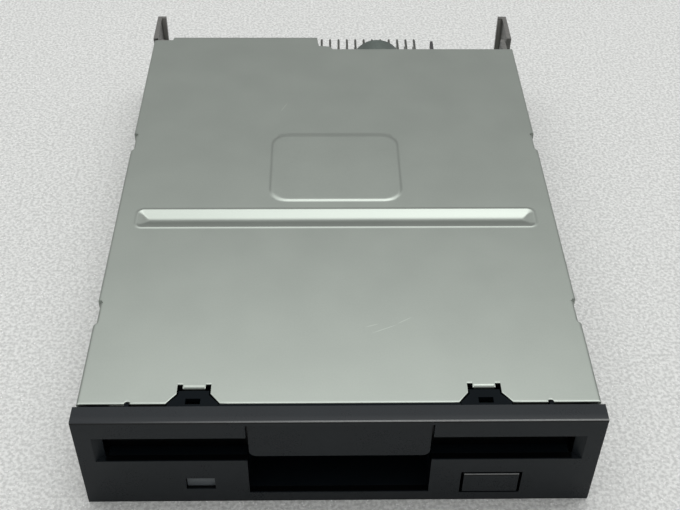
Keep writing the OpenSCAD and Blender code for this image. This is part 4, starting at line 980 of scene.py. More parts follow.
@dataclass
class TopCover:
    """The bent sheet over the drive, with its groove, panel, notches and lances."""

    half: float = 50.45
    top: float = 24.6
    sheet: float = 0.8
    skirt_low: float = 9.6
    front: float = 5.15
    right_back: float = 132.4
    corner_back: float = 137.2
    flap_back: float = 138.7
    fold: float = 0.4
    tongue_x: float = 28.2
    notch: float = 4.8
    catch_at: float = 4.55
    slope: float = 1.25
    strip: float = 2.01
    nub_x: float = 40.7
    nub_r: float = 0.56
    lance_y: Flat = (29.6, 88.9)
    lance_half: float = 3.6
    lance_in: float = 0.6
    lance_jog: float = 0.8
    lance_slit: float = 0.8
    lance_low: float = 14.0
    lance_foot: float = 13.5
    lance_reach: float = 47.5
    slit_x: float = 49.75
    groove: Point = (59.7, 45.25, 2.62)
    groove_depth: float = 0.7
    groove_run: float = 2.1
    groove_end: float = 1.05
    groove_corner: float = 1.0
    lip: float = 0.09
    panel: Point = (78.8, 15.75, 13.1)
    panel_rise: float = 0.2
    panel_corner: float = 4.5
    first_row: float = 12.0
    last_row: float = 128.0
    rolled: tuple[Flat, ...] = ((0.0, 0.13), (0.07, 0.05), (0.17, 0.012), (0.32, 0.0), (0.6, 0.0))
    catch_drop: float = 1.1
    flap_roll: float = 2.2
    step_x: tuple[float, ...] = (-45.25, -44.95, -4.5, -4.0, -1.0, 0.0)
    step_rise: Flat = (1.8, 1.4)
    catch_half: float = 2.21
    gap_half: float = 3.29
    slope_half: float = 5.2
    groove_blend: float = 0.21
    lip_place: float = 0.45
    lip_width: float = 0.32
    panel_edge: float = 0.42
    panel_blend: float = 0.25
    line_steps: Flat = (3.6, 3.8)
    least_steps: Flat = (0.012, 0.05)
    close_x: tuple[Point, ...] = ((42.0, 47.2, 0.26), (11.0, 14.4, 0.55), (14.6, 16.8, 0.22))
    close_y: tuple[Point, ...] = (
        (55.6, 64.2, 0.18), (64.8, 67.2, 0.2), (67.6, 71.0, 0.5), (86.6, 90.0, 0.5), (90.4, 92.8, 0.2))
    end_x: float = 48.6
    skirt_z: tuple[float, ...] = (11.5, 17.0, 20.5)
    lance_clear: float = 0.15
    lance_inside: float = 1.0
    panel_rear: float = 91.0
    nub_steps: int = 8
    bend_steps: int = 5
    catch_lap: float = 0.05
    crease: float = 38.0

    def height(self, x: float, y: float) -> float:
        """Height of the pressed relief over the flat top.

        Args:
            x: place across, in millimetres.
            y: depth behind the bezel's face.

        Returns:
            The height in millimetres.
        """
        squeeze = self.groove_end
        depth = inside_depth(x * squeeze, y - self.groove[0], self.groove[1] * squeeze, self.groove[2],
                             self.groove_corner)
        rise = -self.groove_depth * soft_ramp(depth / self.groove_run, self.groove_blend)
        rise += self.lip * math.exp(-((depth + self.lip_place) / self.lip_width) ** 2)
        panel = inside_depth(x, y - self.panel[0], self.panel[1], self.panel[2], self.panel_corner)
        return rise + self.panel_rise * soft_ramp(panel / self.panel_edge, self.panel_blend)

    def back_edge(self, x: float) -> float:
        """Depth of the stepped rear edge at x.

        Args:
            x: place across, in millimetres.

        Returns:
            The depth.
        """
        corner, flap, right = self.corner_back, self.flap_back, self.right_back
        depths = (corner, flap, flap, right + self.step_rise[0], right + self.step_rise[1], right)
        points = [(-self.half, corner), *zip(self.step_x, depths), (self.half, right)]
        for (xa, ya), (xb, yb) in zip(points, points[1:]):
            if x <= xb:
                return ya + (yb - ya) * max(0.0, x - xa) / (xb - xa)
        return right

    def front_edge(self, x: float) -> float:
        """Depth of the front edge at x, with the notches for tongues and nubs.

        Args:
            x: place across, in millimetres.

        Returns:
            The depth.
        """
        off = abs(abs(x) - self.tongue_x)
        nub = abs(abs(x) - self.nub_x)
        if off <= self.strip:
            return self.front + self.catch_at
        if off < self.catch_half:
            return self.front + self.catch_at - self.sheet
        if off < self.gap_half:
            return self.front + self.notch
        if off < self.slope_half:
            return self.front + self.slope * (self.slope_half - off)
        if nub < self.nub_r:
            return self.front + math.sqrt(self.nub_r ** 2 - nub ** 2)
        return self.front

    def columns(self) -> list[tuple[float, float, bool]]:
        """Lines across the sheet from skirt to skirt: x, z, and whether the line lies on the top.

        Returns:
            The lines, from the left skirt's foot to the right one's.
        """
        xs = spread(-self.half + self.fold, self.half - self.fold, self.line_steps[0])
        xs += [*self.step_x, -self.slit_x, self.slit_x, -self.end_x, self.end_x]
        edges = [half + off for half in (self.gap_half, self.catch_half, self.strip) for off in (-NEAR, NEAR)]
        for side in (-1, 1):
            for off in (self.slope_half, self.slope_half - 1, *edges, 0):
                xs += [side * self.tongue_x - off, side * self.tongue_x + off]
            xs += [side * self.nub_x + self.nub_r * math.cos(math.pi * k / self.nub_steps)
                   for k in range(self.nub_steps + 1)]
            xs += [side * v for run in self.close_x for v in spread(*run)]
        xs = tidy_values(xs, self.least_steps[0])
        levels = sorted((self.skirt_low, *self.skirt_z, self.lance_foot, self.lance_low))
        side = [(self.half, z, False) for z in levels]
        bend = [(self.half - self.fold * (1 - math.cos(a)), self.top - self.fold * (1 - math.sin(a)), False)
                for a in quarter(self.bend_steps)[:-1]]
        right = (side + bend)[::-1]
        left = [(-x, z, f) for x, z, f in right[::-1]]
        return left + [(x, self.top, True) for x in xs] + right

    def rows(self) -> list[float]:
        """Depths of the lines along the sheet between its front and rear edges.

        Returns:
            The depths in order.
        """
        ys = spread(self.first_row, self.last_row, self.line_steps[1])
        ys += [y for run in self.close_y for y in spread(*run)]
        near, inside = self.lance_half + self.lance_clear, self.lance_half - self.lance_inside
        for y in self.lance_y:
            ys = [v for v in ys if abs(v - y) >= near or
                  self.groove[0] < v < self.panel_rear and abs(v - y) < inside]
            ys += [y - self.lance_half, y - self.lance_half + self.lance_jog,
                   y + self.lance_half - self.lance_slit, y + self.lance_half]
        return tidy_values(ys, self.least_steps[1])

    def pushed(self, x: float, y: float, z: float, top: bool) -> float:
        """How far a point is pushed inwards by a lance.

        Args:
            x: place across, in millimetres.
            y: depth behind the bezel's face.
            z: height.
            top: whether it lies on the top.

        Returns:
            The distance in millimetres.
        """
        start = self.lance_jog - self.lance_half - NEAR
        end = self.lance_half - self.lance_slit + NEAR
        on = any(start <= y - c <= end for c in self.lance_y)
        if not on or z < self.lance_low:
            return 0.0
        reach = (abs(x) - self.lance_reach) / (self.half - self.fold - self.lance_reach) if top else 1.0
        return self.lance_in * min(max(reach, 0.0), 1.0)

    def cut(self, x: float, z: float, top: bool, y: float) -> bool:
        """Whether the cell with this middle is cut away round a lance.

        Args:
            x: place of the line across.
            z: height of the line.
            top: whether it lies on the top.
            y: depth of the cell's middle.

        Returns:
            True for a cut.
        """
        for c in self.lance_y:
            slit = c + self.lance_half - self.lance_slit < y < c + self.lance_half
            if slit and (z > self.lance_foot and not top or abs(x) > self.slit_x):
                return True
            if c - self.lance_half < y < c + self.lance_half and self.lance_foot < z < self.lance_low:
                return True
        return False

    def line(self, x: float, z: float, top: bool) -> list[tuple[Point, Point, float]]:
        """Outer point, inner point and depth along one line of the sheet.

        Args:
            x: place of the line across.
            z: height of the line.
            top: whether it lies on the top.

        Returns:
            One entry for each depth.
        """
        front, back = self.front_edge(x) if top else self.front, self.back_edge(x)
        flat = top and abs(abs(x) - self.tongue_x) > self.strip
        stops = [(front + off, drop if flat else 0.0) for off, drop in self.rolled]
        stops += [(y, 0.0) for y in self.rows()]
        roll = self.flap_roll if back > self.corner_back else 1.0
        stops += [(back - off * roll, drop * roll if top else 0.0) for off, drop in reversed(self.rolled)]
        out = []
        for y, drop in stops:
            rise = self.height(x, y) if top else 0.0
            edge = math.copysign(abs(x) - self.pushed(x, y, z, top), x)
            reach = self.half - self.sheet - self.pushed(self.half, y, z, False)
            inner = math.copysign(min(abs(edge), reach), x)
            under = z + rise - self.sheet if top else min(z, self.top - self.sheet) + rise
            out.append(((edge, y, z + rise - drop), (inner, y, under), y))
        return out

    def build(self, shop: Shop) -> None:
        """Makes the sheet with both its skins and seats it.

        Args:
            shop: makes and seats the piece.
        """
        blank = Blank()
        columns = self.columns()
        lines = [self.line(*column) for column in columns]
        skins = [[[blank.bm.verts.new(at(*p[side])) for p in line] for line in lines] for side in (0, 1)]
        wide, deep = len(lines) - 1, len(lines[0]) - 1

        def kept(c: int, r: int) -> bool:
            """Whether a cell of the sheet is there.

            Args:
                c: number of the cell across.
                r: number of the cell along.

            Returns:
                True for a cell of the sheet.
            """
            if not (0 <= c < wide and 0 <= r < deep):
                return False
            (xa, za, fa), (xb, zb, fb) = columns[c], columns[c + 1]
            middle = (lines[c][r][2] + lines[c][r + 1][2]) / 2
            return not self.cut((xa + xb) / 2, (za + zb) / 2, fa and fb, middle)

        for c in range(wide):
            for r in range(deep):
                if not kept(c, r):
                    continue
                for skin in skins:
                    blank.bm.faces.new((skin[c][r], skin[c + 1][r], skin[c + 1][r + 1], skin[c][r + 1]))
                for (dc, dr), (a, b) in (((-1, 0), ((0, 0), (0, 1))), ((1, 0), ((1, 0), (1, 1))),
                                         ((0, -1), ((0, 0), (1, 0))), ((0, 1), ((0, 1), (1, 1)))):
                    if not kept(c + dc, r + dr):
                        rim = [skins[s][c + p[0]][r + p[1]] for s, p in ((0, a), (0, b), (1, b), (1, a))]
                        blank.bm.faces.new(rim)
        bmesh.ops.remove_doubles(blank.bm, verts=blank.bm.verts, dist=SHEET_WELD * MM)
        bmesh.ops.dissolve_degenerate(blank.bm, edges=blank.bm.edges, dist=SHEET_WELD * MM)
        self.curl_catches(blank)
        obj = shop.piece("top_cover.sheet", blank.mesh("top_cover.sheet", self.crease))
        shop.seat(obj, "frame", "cover_steel", "top_cover")

    def curl_catches(self, blank: Blank) -> None:
        """Bends the strips behind the latch tongues down.

        Args:
            blank: the mesh of the sheet.
        """
        start = self.front + self.catch_at
        for side in (-1, 1):
            x0, x1 = side * self.tongue_x - self.strip, side * self.tongue_x + self.strip
            path = [(start + self.catch_lap, self.top, start + self.catch_lap, self.top - self.sheet)]
            for angle in quarter(self.bend_steps):
                path.append((start - self.sheet * math.sin(angle),
                             self.top - self.sheet * (1 - math.cos(angle)), start, self.top - self.sheet))
            path.append((start - self.sheet, self.top - self.sheet - self.catch_drop, start,
                         self.top - self.sheet - self.catch_drop))
            blank.loft([[(x0, a, b), (x1, a, b), (x1, c, d), (x0, c, d)] for a, b, c, d in path])


@dataclass
class Bezel:
    """The moulded front with its slot, finger recess, holes, latch tongues and inner walls."""

    half: float = 50.8
    high: float = 25.4
    deep: float = 3.85
    wall: float = 1.6
    slot: Point = (13.4, 20.5, 45.8)
    flare: float = 1.7
    lip_end: Flat = (45.2, 4.5)
    sleeve_back: Flat = (6.0, 4.5)
    recess: Point = (18.0, 2.8, 24.2)
    button: tuple[float, float, float, float] = (24.2, 36.4, 2.4, 9.2)
    lens: tuple[float, float, float, float] = (-30.55, -24.75, 4.15, 7.75)
    sleeve: float = 0.9
    edge: float = 0.25
    facet: Flat = (0.48, 0.14)
    inner_edge: float = 0.4
    cover_front: float = 5.15
    seat_gap: float = 0.1
    tongue_x: float = 28.2
    tongue: tuple[Flat, ...] = ((-4.9, 0), (4.9, 0), (3, 2.2), (3, 3.4), (-3, 3.4), (-3, 2.2))
    tongue_low: float = 23.8
    tongue_high: float = 24.9
    tongue_fall: float = 0.09
    tongue_hole: tuple[float, float, float] = (1.42, -0.2, 1.25)
    nub_x: float = 40.7
    nub_r: float = 0.42
    pocket_wall: float = 1.2
    pocket: Flat = (11.0, 10.0)
    lip: float = 1.2
    ear: Flat = (45.4, 46.9)
    ear_low: float = 21.3
    hook: tuple[float, float, float, float] = (38.0, 44.0, 1.2, 8.0)
    lap: float = 0.02
    tongue_root: float = -1.9
    ledge_high: float = 24.6
    front_share: float = 1.4
    inner_round: float = 0.1
    nub_steps: int = 8

    def solid(self, x: float, y: float, z: float) -> bool:
        """Whether a place is inside the shell.

        Args:
            x: place across, in millimetres.
            y: depth behind the bezel's face.
            z: height.

        Returns:
            True inside.
        """
        if y > self.wall:
            return abs(x) > self.half - self.wall or not self.wall < z < self.high - self.wall
        if self.slot[0] < z < self.slot[1] and abs(x) < self.slot[2] + self.flare:
            return False
        if abs(x) < self.recess[0] and self.recess[1] < z < self.recess[2]:
            return False
        return not any(h[0] < x < h[1] and h[2] < z < h[3] for h in (self.button, self.lens))

    def flared(self, x: float, y: float, z: float) -> Point:
        """Draws the ends of the slot in behind the face and slopes the top edge.

        Args:
            x: place across, in millimetres.
            y: depth behind the bezel's face.
            z: height.

        Returns:
            The final place.
        """
        if z > self.high - NEAR and y < NEAR:
            return (x, y, z - self.facet[1])
        on_end = abs(abs(x) - self.slot[2] - self.flare) < NEAR and self.slot[0] <= z <= self.slot[1]
        return (math.copysign(self.half_way(y), x) if on_end else x, y, z)

    def half_way(self, y: float) -> float:
        """Half width of the flared slot at a depth."""
        return self.slot[2] + self.flare * (1 - min(y / self.wall, 1.0))

    def shell(self, blank: Blank) -> None:
        """The front wall and the rim round it.

        Args:
            blank: the mesh that takes them.
        """
        out, rim = self.half, self.half - self.wall
        end = self.slot[2] + self.flare
        xs = [-out, -rim, -end, -self.recess[0], self.recess[0], end, rim, out]
        xs += [*self.button[:2], *self.lens[:2]]
        zs = [0, self.wall, self.high - self.wall, self.high, *self.slot[:2], *self.recess[1:]]
        zs += [*self.button[2:], *self.lens[2:]]
        blank.cells(xs, (0, self.facet[0], self.wall, self.deep), zs, self.solid, self.flared)

    def share(self, a: Vector, b: Vector) -> float:
        """Part of the full rounding that an edge of the shell gets.

        Args:
            a: one end of the edge.
            b: the other end.

        Returns:
            The part, from 0 to 1.
        """
        rim = all(abs(abs(p.x) - self.half) < NEAR or min(abs(p.z), abs(p.z - self.high)) < NEAR
                  for p in (a, b))
        front = max(a.y, b.y) < NEAR
        if rim and front:
            return 1.0
        return self.inner_edge * (self.front_share if front else 1.0)

    def inner_walls(self, blank: Blank) -> None:
        """Pocket, sleeves, slot lips, flap ears and floor hooks behind the wall.

        Args:
            blank: the mesh that takes them.
        """
        start, half, low = self.wall - self.lap, self.recess[0], self.recess[1]
        depth, rim = self.pocket
        wall = self.pocket_wall
        blank.cells((-half - wall, -half, half, half + wall), (start, depth, depth + wall),
                    (low - wall, low, rim), lambda x, y, z: abs(x) > half or y > depth or z < low)
        for hole, back in zip((self.button, self.lens), self.sleeve_back):
            x0, x1, z0, z1 = hole
            blank.cells((x0 - self.sleeve, x0, x1, x1 + self.sleeve), (start, back),
                        (z0 - self.sleeve, z0, z1, z1 + self.sleeve),
                        lambda x, y, z: not (x0 < x < x1 and z0 < z < z1))
        bars = (((half, self.lip_end[0]), (start, self.lip_end[1]), (self.slot[0] - self.lip, self.slot[0])),
                (self.ear, (start, self.cover_front - self.seat_gap), (self.ear_low, self.high - self.wall)),
                (self.hook[:2], (start, self.hook[3]), (self.hook[2], self.hook[2] + self.lip)))
        for side in (-1, 1):
            for (xa, xb), (ya, yb), (za, zb) in bars:
                blank.box((min(side * xa, side * xb), ya, za), (max(side * xa, side * xb), yb, zb))

    def latches(self, blank: Blank) -> None:
        """Ledge, latch tongues with their holes, and nubs.

        Args:
            blank: the mesh that takes them.
        """
        low, high, front = self.tongue_low, self.tongue_high, self.cover_front
        inner = self.tongue_x + self.tongue[0][0]
        blank.box((-inner, self.wall, low), (inner, front - self.seat_gap, self.ledge_high))
        w, y0, y1 = self.tongue_hole
        wide, root = self.tongue[1][0], self.tongue_root
        for side in (-1, 1):
            outline = [(-wide, root), (wide, root), *self.tongue[1:], self.tongue[0]]
            hole = [(-w, y0), (w, y0), (w, y1), (-w, y1)]
            blank.plate((outline, hole), lambda u, v, k: (
                side * self.tongue_x + u, front + v, (high if k else low) - self.tongue_fall * (v - root)))
            stub = [(-self.nub_r, root), (self.nub_r, root)]
            stub += [(self.nub_r * math.cos(a), self.nub_r * (math.sin(a) - 1))
                     for a in (math.pi * k / self.nub_steps for k in range(self.nub_steps + 1))]
            blank.plate((stub,), lambda u, v, k: (side * self.nub_x + u, front + v, high if k else low))

    def build(self, shop: Shop) -> None:
        """Makes the shell and the details behind it.

        Args:
            shop: makes and seats the pieces.
        """
        blank = Blank()
        self.shell(blank)
        shell = shop.rounded("front_bezel.shell", blank, self.edge, 4, self.share)
        shop.seat(shell, "frame", "bezel_plastic", "front_bezel")
        blank = Blank()
        self.inner_walls(blank)
        self.latches(blank)
        details = shop.rounded("front_bezel.details", blank, self.inner_round, 2)
        # The parts behind the face take the darker copy of the bezel plastic as painted shade.
        shop.seat(details, "frame", "bezel_plastic", finish="bezel_plastic_shaded")


@dataclass
class FrontMoves:
    """Flap, button and lens."""

    flap_half: float = 45.0
    flap: tuple[float, float, float, float] = (3.5, 4.5, 13.7, 22.7)
    notch: Point = (-44.4, -41.0, 21.4)
    boss: tuple[float, float, float, float] = (17.65, 0.9, 23.4, 1.5)
    axis: Flat = (4.0, 22.7)
    knuckle_r: float = 0.9
    trunnion: Flat = (46.7, 0.7)
    button: tuple[float, float, float, float] = (24.8, 35.8, 2.95, 8.65)
    button_front: float = -0.1
    button_back: float = 9.0
    facet: Flat = (0.32, 0.12)
    button_wall: float = 1.0
    stem: tuple[float, float, float, float] = (27.5, 33.0, 4.2, 7.4)
    stem_slot: tuple[float, float, float] = (13.96, 14.74, 4.56)
    stem_back: float = 16.3
    lens: tuple[float, float, float, float] = (-30.45, -24.85, 4.25, 7.65)
    lens_front: float = 0.8
    lens_back: Flat = (4.5, 5.5)
    flange: float = 0.6
    lap: Flat = (0.01, 0.02)
    corner_steps: int = 6
    flap_round: float = 0.4
    flap_inner: float = 0.2
    button_round: float = 0.35
    button_inner: float = 0.18
    button_side: float = 0.6
    button_top: float = 0.3
    lens_round: float = 0.2

    def make_flap(self, shop: Shop) -> None:
        """The sprung flap with its raised face and knuckle.

        Args:
            shop: makes and seats the piece.
        """
        blank = Blank()
        front, back, low, high = self.flap
        cut0, cut1, cut_low = self.notch
        half = self.flap_half
        blank.cells((-half, cut0, cut1, half), (front, back), (low, cut_low, high),
                    lambda x, y, z: not (cut0 < x < cut1 and z > cut_low))
        for start, end in ((-half, cut0), (cut1, half)):
            blank.rod(start, end, *self.axis, self.knuckle_r)
        blank.rod(-self.trunnion[0], self.trunnion[0], *self.axis, self.trunnion[1])
        w, face, top, r = self.boss
        outline = [(w, top), (-w, top)]
        for side, start in ((-1, math.pi), (1, 1.5 * math.pi)):
            for a in quarter(self.corner_steps):
                outline.append((side * (w - r) + r * math.cos(start + a), low + r + r * math.sin(start + a)))
        blank.loft([[(u, y, v) for u, v in outline] for y in (face, front + self.lap[0])])
        flap = shop.rounded("dust_flap.soft", blank, self.flap_round, 3, self.flap_share)
        shop.seat(flap, "flap", "bezel_plastic", "dust_flap")

    def flap_share(self, a: Vector, b: Vector) -> float:
        """Part of the full rounding that an edge of the flap gets."""
        return 1.0 if max(a.y, b.y) < self.boss[1] + NEAR else self.flap_inner

    def make_button(self, shop: Shop) -> None:
        """The hollow eject button and its stem.

        Args:
            shop: makes and seats the piece.
        """
        blank = Blank()
        x0, x1, z0, z1 = self.button
        t = self.button_wall
        near = self.button_front
        blank.cells((x0, x0 + t, x1 - t, x1), (near, near + self.facet[0], t, self.button_back),
                    (z0, z0 + t, z1 - t, z1),
                    lambda x, y, z: not (y > t and x0 + t < x < x1 - t and z0 + t < z < z1 - t),
                    lambda x, y, z: (x, y, z - self.facet[1] if z > z1 - NEAR and y < near + NEAR else z))
        sx0, sx1, sz0, sz1 = self.stem
        slot, far, floor = self.stem_slot
        blank.cells((sx0, sx1), (t - self.lap[1], slot, far, self.stem_back), (sz0, floor, sz1),
                    lambda x, y, z: not (slot < y < far and z > floor))
        button = shop.rounded("eject_button.soft", blank, self.button_round, 4, self.button_share)
        shop.seat(button, "slider", "bezel_plastic", "eject_button")

    def button_share(self, a: Vector, b: Vector) -> float:
        """Part of the full rounding that an edge of the button gets.

        Args:
            a: one end of the edge.
            b: the other end.

        Returns:
            The part, from 0 to 1.
        """
        if max(a.y, b.y) > 0.5 * self.button_wall:
            return self.button_inner
        return 1.0 if min(a.z, b.z) > self.button[3] - self.button_top else self.button_side

    def make_lens(self, shop: Shop) -> None:
        """The lamp window with its flange.

        Args:
            shop: makes and seats the piece.
        """
        blank = Blank()
        x0, x1, z0, z1 = self.lens
        f, (step, back) = self.flange, self.lens_back
        blank.cells((x0 - f, x0, x1, x1 + f), (self.lens_front, step, back), (z0 - f, z0, z1, z1 + f),
                    lambda x, y, z: y > step or x0 < x < x1 and z0 < z < z1)
        shop.seat(shop.rounded("led_lens.soft", blank, self.lens_round), "frame", "lens_plastic", "led_lens")

    def build(self, shop: Shop) -> None:
        """Makes the three pieces.

        Args:
            shop: makes and seats the pieces.
        """
        self.make_flap(shop)
        self.make_button(shop)
        self.make_lens(shop)


@dataclass
class Springs:
    """All wound wire: return springs, lever and flap springs, and the stator's windings."""

    wire: float = 0.24
    pitch: float = 0.6
    steps: int = 14
    hook: float = 0.55
    hook_steps: int = 5
    tails: Flat = (2.8, 2.0)
    lead: float = 0.4
    squashed: float = 0.823
    lever_wire: float = 0.28
    lever_pitch: float = 2.2
    flap_wire: float = 0.1
    flap_pitch: float = 2.3
    coil_wire: float = 0.2
    coil_half: Flat = (1.9, 1.5)
    coil_corner: float = 0.5
    spindle: Flat = (0.0, 54.0)
    coil_middle: float = 5.5
    coil_reach: Flat = (9.95, 17.16)
    poles: int = 9

    def turns(self, length: float, pitch: float) -> Iterator[tuple[float, float]]:
        """Share of the length and angle along a winding.

        Args:
            length: length of the winding.
            pitch: length of one turn.

        Returns:
            Pairs of share and angle, in order.
        """
        count = max(2, round(length / pitch)) * self.steps
        for k in range(count + 1):
            yield k / count, 2 * math.pi * k / self.steps

    def return_spring(self, shop: Shop, name: str) -> None:
        """One close-wound return spring with its hooks.

        Args:
            shop: makes and seats the piece.
            name: the CAD node that it stands for.
        """
        (x0, y0, z0), (x1, y1, _) = node_box(name)
        x, radius = (x0 + x1) / 2, (x1 - x0) / 2 - self.wire
        z, start, end = z0 + (x1 - x0) / 2, y0 + self.tails[0], y1 - self.tails[1]
        near, far = y0 + self.wire, y1 - self.wire
        path = [(x, near + self.hook * (1 - math.cos(a)), z - self.hook * (1 - math.sin(a)))
                for a in quarter(self.hook_steps)]
        path.append((x, start - self.lead, z))
        for share, angle in self.turns(end - start, self.pitch):
            y = start + share * (end - start)
            path.append((x + radius * math.sin(angle), y, z + radius * math.cos(angle)))
        path.append((x, end + self.lead, z))
        path += [(x, far - self.hook * (1 - math.sin(a)), z - self.hook * (1 - math.cos(a)))
                 for a in quarter(self.hook_steps)]
        obj = shop.wire(name + ".wound", [path], self.wire, 8, "spring_steel")
        shop.seat(obj, "frame", "spring_steel", name)
        tuple(at(x, y0, z))
        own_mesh(obj)

    def lever_spring(self, shop: Shop) -> None:
        """The torsion spring under the shutter lever.

        Args:
            shop: makes and seats the piece.
        """
        (x0, y0, z0), (x1, y1, z1) = node_box("lever_spring")
        wire, x, y = self.lever_wire, (x0 + x1) / 2, (y0 + y1) / 2
        radius, low, high = (x1 - x0) / 2 - wire, z0 + wire, z1 - wire
        path = [(x + radius * math.cos(angle), y + radius * math.sin(angle), low + share * (high - low))
                for share, angle in self.turns(high - low, self.lever_pitch * wire)]
        obj = shop.wire("lever_spring.wound", [path], wire, 8, "spring_steel")
        shop.seat(obj, "frame", "spring_steel", "lever_spring")

    def flap_spring(self, shop: Shop) -> None:
        """The torsion spring on the flap's pin.

        Args:
            shop: makes and seats the piece.
        """
        (x0, y0, z0), (x1, y1, z1) = node_box("flap_spring")
        wire, y, z = self.flap_wire, (y0 + y1) / 2, (z0 + z1) / 2
        radius, low, high = (z1 - z0) / 2 - wire, x0 + wire, x1 - wire
        path = [(low + share * (high - low), y + radius * math.cos(angle), z + radius * math.sin(angle))
                for share, angle in self.turns(high - low, self.flap_pitch * wire)]
        obj = shop.wire("flap_spring.wound", [path], wire, 6, "spring_steel")
        shop.seat(obj, "frame", "spring_steel", "flap_spring")

    def windings(self, shop: Shop) -> None:
        """The copper windings on the stator's teeth.

        Args:
            shop: makes and seats the piece.
        """
        wire, (start, end) = self.coil_wire, self.coil_reach
        u, v, corner = self.coil_half[0] - wire, self.coil_half[1] - wire, self.coil_corner
        loop = []
        for k, (su, sv) in enumerate(((1, 1), (-1, 1), (-1, -1), (1, -1))):
            for step in range(3):
                a = math.pi / 2 * (k + step / 2)
                loop.append((su * (u - corner) + corner * math.cos(a),
                             sv * (v - corner) + corner * math.sin(a)))
        rounds = round((end - start - 2 * wire) / (2 * wire))
        paths = []
        for pole in range(1, self.poles + 1):
            turn = 2 * math.pi * pole / self.poles
            path = []
            for k in range(rounds * len(loop) + 1):
                along = start + wire + (end - start - 2 * wire) * k / (rounds * len(loop))
                side, rise = loop[k % len(loop)]
                path.append((self.spindle[0] + along * math.cos(turn) - side * math.sin(turn),
                             self.spindle[1] + along * math.sin(turn) + side * math.cos(turn),
                             self.coil_middle + rise))
            paths.append(path)
        obj = shop.wire("stator_coils.wound", paths, wire, 6, "copper_wire")
        shop.seat(obj, "frame", "copper_wire", "stator_coils")

    def build(self, shop: Shop) -> None:
        """Makes every wound piece.

        Args:
            shop: makes and seats the pieces.
        """
        for name in ("return_spring_left", "return_spring_right"):
            self.return_spring(shop, name)
        self.lever_spring(shop)
        self.flap_spring(shop)
        self.windings(shop)


@dataclass
class Fasteners:
    """Pan head screws with cross recesses."""

    head_h: float = 1.3
    shank: float = 0.55
    soft: float = 0.2
    crown: tuple[Flat, ...] = ((0.0, -0.95), (0.1, -0.45), (0.3, -0.16), (0.6, -0.03), (0.85, 0.0))
    arm: Flat = (1.25, 0.26)
    arm_for: float = 2.2
    sink: float = 0.75
    taper: float = 0.55
    turn: Flat = (23.0, 37.0)
    steps: int = 24

    def screw(self, radius: float, length: float) -> bpy.types.Mesh:
        """One screw with the top of its head at z = 0.

        Args:
            radius: radius of the head.
            length: length with the head.

        Returns:
            The mesh.
        """
        blank = Blank()
        shank, soft = self.shank * radius, self.soft
        profile = [(shank - soft, -length), (shank, -length + soft)]
        profile += [(shank, -self.head_h), (radius, -self.head_h)]
        profile += [(radius - inset, z) for inset, z in self.crown]
        rim = blank.loft([[(x, y, z) for x, y in circle(r, self.steps)] for r, z in profile], last=False)
        long, wide = self.arm[0] * radius / self.arm_for, self.arm[1]
        cross = []
        for k in range(4):
            c, s = math.cos(math.pi / 2 * k), math.sin(math.pi / 2 * k)
            for u, v in ((long, -wide), (long, wide), (wide, wide)):
                cross.append((c * u - s * v, s * u + c * v))
        mouth = [blank.bm.verts.new(at(x, y, 0)) for x, y in cross]
        edges = [blank.bm.edges.new((mouth[k - 1], mouth[k])) for k in range(len(mouth))]
        edges += [e for e in blank.bm.edges if e.is_boundary and e.verts[0] in rim and e.verts[1] in rim]
        bmesh.ops.triangle_fill(blank.bm, use_beauty=True, edges=edges)
        floor = [blank.bm.verts.new(at(self.taper * x, self.taper * y, -self.sink)) for x, y in cross]
        for k in range(len(mouth)):
            blank.bm.faces.new((mouth[k - 1], mouth[k], floor[k], floor[k - 1]))
        blank.bm.faces.new(floor)
        return blank.mesh("screw")

    def build(self, shop: Shop) -> None:
        """Sets the screws where the solids have theirs.

        Args:
            shop: makes and seats the pieces.
        """
        for node in ("board_screws", "motor_screws", "bracket_screws_set"):
            boxes = islands(node)
            low, high = boxes[0]
            shape = self.screw((high[0] - low[0]) / 2, high[2] - low[2])
            spots = [((a[0] + b[0]) / 2, (a[1] + b[1]) / 2, b[2]) for a, b in boxes]
            turns = [self.turn[0] + self.turn[1] * k for k in range(len(spots))]
            obj = shop.repeat(node + ".cross", shape, spots, "bright_steel", turns)
            shop.seat(obj, "frame", "bright_steel", node)


